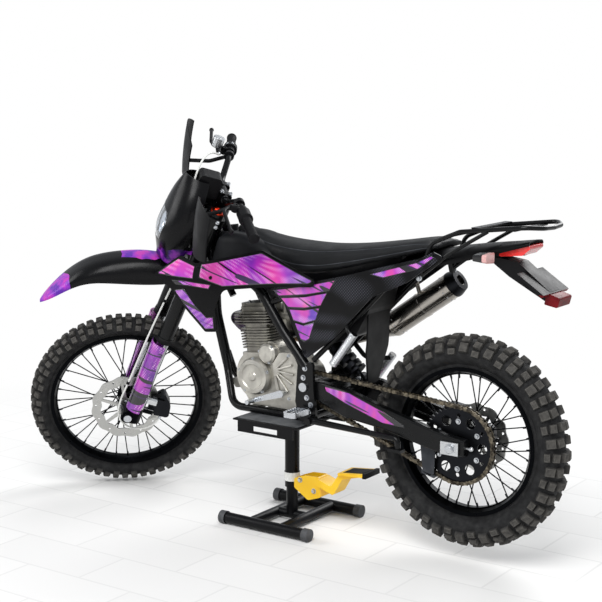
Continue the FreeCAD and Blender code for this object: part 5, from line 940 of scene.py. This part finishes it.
def film(name, upper, lower, side, target, material, columns=70, rows=14):
    """A film between two edges of (x, z), in even steps along both with straight lines across, laid on a panel.

    Its attribute "edge" is each point's distance in metres to the film's rim.
    """
    t = np.linspace(0, 1, rows)[:, None, None]
    grid = even_steps(upper, columns) * (1 - t) + even_steps(lower, columns) * t
    rim = np.vstack((grid[0], grid[-1], grid[:, 0], grid[:, -1]))
    edge = np.linalg.norm(grid.reshape(-1, 1, 2) - rim, axis=2).min(1) * MM
    beside = np.full(grid.shape[:2], side * 320.0)
    points, faces = grid_shape(np.stack((grid[..., 0], beside, grid[..., 1]), -1))
    if side > 0:
        faces = [array[:, ::-1] for array in faces]
    piece = make(name, (points, faces), material, "root", 60)
    piece.data.attributes.new("edge", "FLOAT", "POINT").data.foreach_set("value", edge)
    pressed(piece, nodes[target], (0, -side, 0), 0.9)
    wall = piece.modifiers.new("wall", "SOLIDIFY")
    wall.thickness = 0.7 * MM
    wall.offset = -1.0
    settled(piece)


# Upper and lower edges in (x, z)
SHROUD_FILMS = {
    "shard": ([(-408, 853), (-332, 905), (-262, 884)], [(-408, 848), (-340, 844), (-262, 842)]),
    "band": ([(-240, 892), (-206, 898), (-32, 940), (182, 869)],
             [(-240, 848), (-150, 824), (10, 842), (166, 856), (180, 863)]),
    "wing": ([(-296, 806), (-258, 752), (-222, 712), (-197, 716)],
             [(-338, 798), (-292, 740), (-234, 670), (-200, 674)]),
    "brow": ([(-350, 832), (-300, 834), (-192, 828)], [(-332, 818), (-280, 818), (-200, 812)]),
}
PANEL_FILMS = {
    "front": ([(14, 821), (148, 848), (268, 877)], [(42, 804), (150, 818), (244, 840)]),
    "second": ([(48, 799), (150, 813), (238, 834)], [(78, 770), (146, 774), (210, 788)]),
    "third": ([(82, 765), (146, 769), (206, 782)], [(98, 728), (140, 722), (188, 738)]),
    "foot": ([(102, 723), (140, 717), (182, 731)], [(124, 668), (138, 660), (158, 672)]),
    "tail": ([(392, 906), (556, 955), (600, 978)], [(440, 898), (560, 934), (612, 974)]),
}
for side, word in zip(SIDES, ("left", "right")):
    for key, edges in SHROUD_FILMS.items():
        film(f"shroud_film_{key}_{word}", *edges, side, f"shroud_{word}", shroud_print)
    for key, edges in PANEL_FILMS.items():
        if side < 0 or key in ("front", "second"):
            film(f"panel_film_{key}_{word}", *edges, side, f"side_panel_{word}", panel_print, 44)
    film(f"swingarm_film_{word}", [(196, 516), (300, 512), (430, 468), (508, 432)],
         [(204, 500), (300, 470), (430, 428), (512, 426)], side, "swingarm", panel_print, 60)


# Grips, controls and fork

def bar_frame(side):
    """Where the grip starts on the bar, and three axes whose third runs outward along it."""
    flip = np.array((1, side, 1))
    along = (BAR_END - BAR_KNEE) * flip
    start = BAR_KNEE * flip + along * (1 - GRIP_LENGTH / np.linalg.norm(along))
    return start, axes_along([along])[0]


def grip():
    """A ribbed rubber sleeve: flange, 24 half-round ribs and a closed end."""
    ribs = [(radius, 12 + 4.4 * i + step) for i in range(24)
            for radius, step in ((15.9, 0), (16.6, 0.9), (16.6, 2.2), (15.9, 3.1))]
    return lathe([(11.4, 0), (24, 0), (24, 4.5), (21, 6), (16.8, 8.5)] + ribs
                 + [(16.6, 118.5), (18.2, 120), (18.2, 124), (15, 126), (4, 126)], 36)


def stood(shape, spots, along=UP):
    """A shape at each spot, its Z turned along a direction."""
    return repeated(shape, spots, axes_along([along])[0])


def screws(head, height, spots, along=UP, hexagon=False):
    """Screw heads at spots, all facing one way."""
    return stood(screw(head, height, hexagon), spots, along)


def round_screws(centre, radius, count, y, side, head, height, turn=0.0, hexagon=False):
    """Screws in a circle about Y, centred at (x, z) and facing a side."""
    t = radians(turn) + np.arange(count) * 2 * pi / count
    spots = np.stack((centre[0] + radius * np.cos(t), 0 * t + y, centre[1] + radius * np.sin(t)), -1)
    return screws(head, height, spots, (0, side, 0), hexagon)


def plate(outline, low, high, bevel=0.0, at=(0, 0, 0), side=-1):
    """A plate with its outline in (x, z) and its thickness out to a side."""
    axes = np.array(((1, 0, 0), (0, 0, -side), (0, side, 0)), float)
    return repeated(prism(outline, low, high, bevel), [at], axes)


places, axes = zip(*(bar_frame(side) for side in SIDES))
grips = put("grip_rubbers", [repeated(grip(), places, np.array(axes))], rubber_soft, "steering", 40)
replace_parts(grips, "grips")

start, axes = bar_frame(1)
perch = start - axes[2] * 50 + (-56, -14, 8)
put("brake_reservoir", [
    stood(lathe([(20.4, 2), (20.4, 30), (21.4, 31), (21.4, 35), (20, 36.4), (4, 36.8)], 40), [perch]),
    screws(2.6, 2, [perch + (0, y, 36.5) for y in (11, -11)]),
], machined, "steering")
throttle = start - axes[2] * 20
put("throttle_screws", [
    screws(3.4, 3, [throttle + (-25, 0, 0)], (-1, 0, 0)), screws(3.4, 3, [throttle + (0, 0, 25)]),
    screws(3.4, 3, [throttle + (-17, 0, 17)], (-1, 0, 1)),
], body="steering")

CLAMP_TOP, STEM_TOP, FORK_TOP, SEAL_FOOT = 904.0, 838.0, 852.0, 327.0
put("clamp_bolts", [
    screws(5.6, 7, [(-10 + way * 15.5, side * 42, CLAMP_TOP) for way in SIDES for side in SIDES]),
    screws(15, 10, [(0, 0, STEM_TOP)], UP, True),
], body="steering")
tops = [(FORK_X, side * FORK_Y, FORK_TOP) for side in SIDES]
put("fork_caps", [
    stood(lathe([(24.5, -3), (24.5, 4), (23.5, 5)], 40), tops),
    stood(lathe([(15, 4), (15, 12), (13.5, 13.5), (7, 13.5), (7, 16), (5, 17)], 6), tops),
], anodised_red, "steering")
put("pinch_bolts", [
    screws(5, 6, [(FORK_X + 6, side * (FORK_Y + 36), z) for z in (614, 632, 812, 830)], (0, side, 0))
    for side in SIDES
], body="steering")
put("instrument_screen", [
    repeated(prism([(-27, -26), (27, -26), (30, -22), (30, 22), (27, 26), (-27, 26), (-30, 22), (-30, -22)],
                   0, 2, 0.6), [(-31.5, 0, 903)], np.array([(0, 1, 0), (-0.05, 0, 1), (1, 0, 0.05)])),
], display_window, "steering")
put("fork_seals", [
    stood(lathe([(24, -4), (29.5, -4), (30.2, 0), (30.2, 10), (27.5, 13), (27.1, 14)], 36),
          [(FORK_X, side * FORK_Y, SEAL_FOOT) for side in SIDES]),
], rubber_soft, "steering")
put("front_disc_bolts", [round_screws(FRONT_AXLE, 24, 6, -64, -1, 5, 5)], body="front_wheel")

# Lamp behind its lens
put("lamp_reflector", [
    repeated(lathe([(8, 1), (14, 2.5), (24, 7), (34, 15), (38, 20), (40, 20), (36, 14), (26, 5), (14, 0),
                    (8, -1)], 48), [(-148, 0, 712)], np.array([(0, 0, 1), (0, 1, 0), (-1, 0, 0)], float)),
], mirror_coat, "steering")
put("lamp_bulb", [
    stood(lathe([(4, 0), (6, 6), (6.5, 12), (4.5, 17), (1, 18.5)], 20), [(-149, 0, 712)], (-1, 0, 0)),
], lens_clear, "steering")


# Wheels' and engine's screws

put("sprocket_bolts", [round_screws(REAR_AXLE, 76, 6, -72.9, -1, 6.5, 6, 30, True)], body="rear_wheel")
put("rear_disc_bolts", [round_screws(REAR_AXLE, 25, 6, 56, 1, 5, 5)], body="rear_wheel")
put("engine_screws", [
    round_screws(CRANK, 60, 5, -81, -1, 4.6, 5, 20), round_screws((-48, 592), 30.5, 3, -84, -1, 3.8, 4, 50),
    round_screws((-10, 500), 73.5, 7, 87, 1, 4.6, 5, 12),
])
up_cylinder = np.array((-sin(CYLINDER_LEAN), 0, cos(CYLINDER_LEAN)))
head_middle = np.array((CRANK[0], 0, CRANK[1])) + up_cylinder * HEAD_HEIGHT
put("head_bolts", [
    screws(5, 6, [head_middle + (x, y, -1) for x in (-26, 26) for y in (-30, 30)], up_cylinder, True),
])


def screws_on(name, node, side, spots, head, height, material=black_oxide, hexagon=False):
    """Screws on a carried-over piece's side at spots of (x, z), each along the surface's normal."""
    shapes = []
    for x, z in spots:
        at, normal = met(nodes[node], (x, side * 330, z), (0, -side, 0))
        shapes.append(screws(head, height, [at], normal, hexagon))
    put(name, shapes, material)


screws_on("frame_bolts", "main_frame", -1, [(126, 568), (120, 536), (134, 470), (150, 448), (142, 424)], 7, 7,
          zinc, True)
screws_on("cover_screws", "engine_covers", -1, [(44, 596), (80, 462), (46, 450)], 4.6, 5, zinc)
for side, word in zip(SIDES, ("left", "right")):
    screws_on(f"shroud_screws_{word}", f"shroud_{word}", side, [(-196, 850), (186, 862), (-250, 880)], 5, 3)
screws_on("panel_screws_left", "side_panel_left", -1, [(136, 628), (16, 812), (610, 980)], 5, 3)


# Passenger pegs, rack, chain's ends and muffler

def peg_sleeve():
    """A turned aluminium sleeve with 15 rings."""
    rings = [(radius, at + step) for at in range(6, 122, 8)
             for radius, step in ((13.4, 0), (13.4, 4), (12.4, 5), (12.4, 7))]
    return lathe([(12, 0), (13.4, 1)] + rings + [(13.4, 126), (13.4, 132), (12, 134)], 28)


put("peg_sleeves", [stood(peg_sleeve(), [(262, -150, 604), (226, 152, 486)], (80, 0, 108))], machined, "root")
put("rack_bolts", [screws(7.5, 6, [(550, side * 111, 904)], (0, side, 0), True) for side in SIDES])

# A block, its axle nut and a bolt that pushes back against each end of the swingarm
adjusters = []
for side in SIDES:
    inner, outer = ((REAR_AXLE[0], side * y, REAR_AXLE[1]) for y in (117, 126))
    adjusters += [
        plate([(-34, -21), (28, -21), (28, 21), (-34, 21)], 0, 9, 1.5, inner, side),
        screws(15, 9, [outer], (0, side, 0), True),
        screws(6, 5, [(738, side * 100, 388)], BACK, True),
        stood(lathe([(4, 0), (4, 24)], 12), [(716, side * 100, 388)], BACK),
    ]
put("chain_adjusters", adjusters, machined, "root")
put("chain_guide", [
    plate([(552, 374), (606, 368), (602, 284), (588, 276), (562, 286)], 84, 88, 1.0),
    plate([(556, 290), (604, 279), (602, 271), (558, 282)], 53, 88, 1.0),
], grey_moulding, "root")

MUFFLER_START, MUFFLER_END = np.array((262.0, 152.0, 664.0)), np.array((545.0, 166.0, 864.0))
muffler_way = (MUFFLER_END - MUFFLER_START) / np.linalg.norm(MUFFLER_END - MUFFLER_START)
put("muffler_end_cap", [
    stood(lathe([(42.6, -34), (44.2, -33), (44.2, -24), (36, 1.5), (19, 2.5), (17.4, 0), (17, -20)], 48),
          [MUFFLER_END], muffler_way),
], black_oxide, "root")
put("muffler_bands", [
    stood(lathe([(42.8, -7), (44.2, -6), (44.2, 6), (42.8, 7)], 48),
          [MUFFLER_START + muffler_way * at for at in (60, 186)], muffler_way),
], stainless, "root")
across, upward = axes_along([muffler_way])[0][:2]
t = np.arange(12)[:, None] * pi / 6
outward = np.cos(t) * across + np.sin(t) * upward
rivet = lathe([(2.6, -1), (2.6, 0.8), (1.4, 1.8)], 10)
put("muffler_rivets", [
    repeated(rivet, MUFFLER_START + muffler_way * at + outward * 43, axes_along(outward)) for at in (76, 290)
])


# Lift stand: lever bolts, bronze latch, rubber on the tread

put("stand_bolts", [
    screws(7, 7, [(52, side * 28, 158), (108, side * 28, 128)], (0, side, 0), True) for side in SIDES
])
put("stand_latch", [
    stood(lathe([(9, -22), (9, 22)], 20), [(100, 0, 152)], RIGHT),
    stood(lathe([(13, -9), (13, 9)], 20), [(78, 0, 146)], RIGHT),
    plate([(40, 138), (112, 160), (112, 150), (40, 128)], -8, 8, 1.0),
], bronze)
put("tread_end_cap", [plate([(311, 208), (324, 209.5), (324, 227), (311, 225.5)], -46, 46, 1.5)], rubber_soft,
    "root")
slope = np.array((106.0, 0, 12.0)) / hypot(106, 12)
put("tread_insert", [
    repeated(prism([(14, -32), (92, -32), (92, 32), (14, 32)], -1, 1.2, 0.8), [(214, 0, 212)],
             np.array([slope, RIGHT, np.cross(slope, RIGHT)])),
], rubber_soft, "root")


# Floor, backdrop, lights and view transform

def floor_material():
    """Pale paving, its joints barely darker, fading to the white backdrop away from the stand."""
    material, tree, shader, place, _ = finish("pale_honed_paving", "#e6e5e3", 0.75)
    add(tree, "TexBrick", {"Vector": place, "Color1": linear("#e9e8e6"), "Color2": linear("#e4e3e1"),
                           "Mortar": linear("#dcdbd9"), "Scale": 1.0, "Mortar Size": 0.004, "Brick Width": 0.42,
                           "Row Height": 0.21}, to=shader.inputs["Base Color"])
    reach = add(tree, "VectorMath", {0: place}, operation="LENGTH")
    fade = mapped(tree, reach, 1.1, 2.6)
    path = add(tree, "LightPath").outputs
    seen = maths(tree, "MAXIMUM", path["Is Camera Ray"], path["Is Glossy Ray"])
    share = maths(tree, "MULTIPLY", fade, seen)
    glow = add(tree, "Emission", {"Color": (1, 1, 1, 1), "Strength": 1.0})
    add(tree, "MixShader", {0: share, 1: shader, 2: glow}, to=tree.nodes["Material Output"].inputs["Surface"])
    return material


def floor():
    """A flat floor under the stand's feet."""
    mesh = bpy.data.meshes.new("paving")
    reach = 14.0
    mesh.from_pydata([(-reach, -reach, 0), (reach, -reach, 0), (reach, reach, 0), (-reach, reach, 0)], [],
                     [(0, 1, 2, 3)])
    mesh.materials.append(floor_material())
    placed("paving", mesh)


def area_light(name, place, size, power):
    """A soft square lamp aimed at the bike's middle."""
    light = bpy.data.lights.new(name, "AREA")
    light.size = size
    light.energy = power
    lamp = placed(name, light)
    lamp.location = place
    aim = np.array((0.0, 0.0, 0.55)) - np.array(place)
    lamp.rotation_euler = (atan2(hypot(aim[0], aim[1]), -aim[2]), 0, atan2(aim[1], aim[0]) - pi / 2)


def world():
    """White where the camera or glass looks at it, softer grey where it lights the bike."""
    scene = bpy.context.scene
    scene.world = bpy.data.worlds.new("studio")
    scene.world.use_nodes = True
    tree = scene.world.node_tree
    path = add(tree, "LightPath").outputs
    seen = maths(tree, "MAXIMUM", path["Is Camera Ray"], path["Is Transmission Ray"])
    backdrop = tree.nodes["Background"]
    backdrop.inputs["Color"].default_value = (1, 1, 1, 1)
    light = add(tree, "Background", {"Color": (0.93, 0.96, 1.0, 1), "Strength": 0.62})
    add(tree, "MixShader", {0: seen, 1: light, 2: backdrop}, to=tree.nodes["World Output"].inputs["Surface"])


floor()
world()
area_light("key_light", (1.6, -3.2, 4.2), 2.6, 190)
area_light("fill_light", (-3.6, -2.0, 2.6), 2.2, 60)
area_light("back_light", (0.4, 3.4, 3.2), 2.4, 90)
bpy.context.scene.view_settings.view_transform = "Standard"
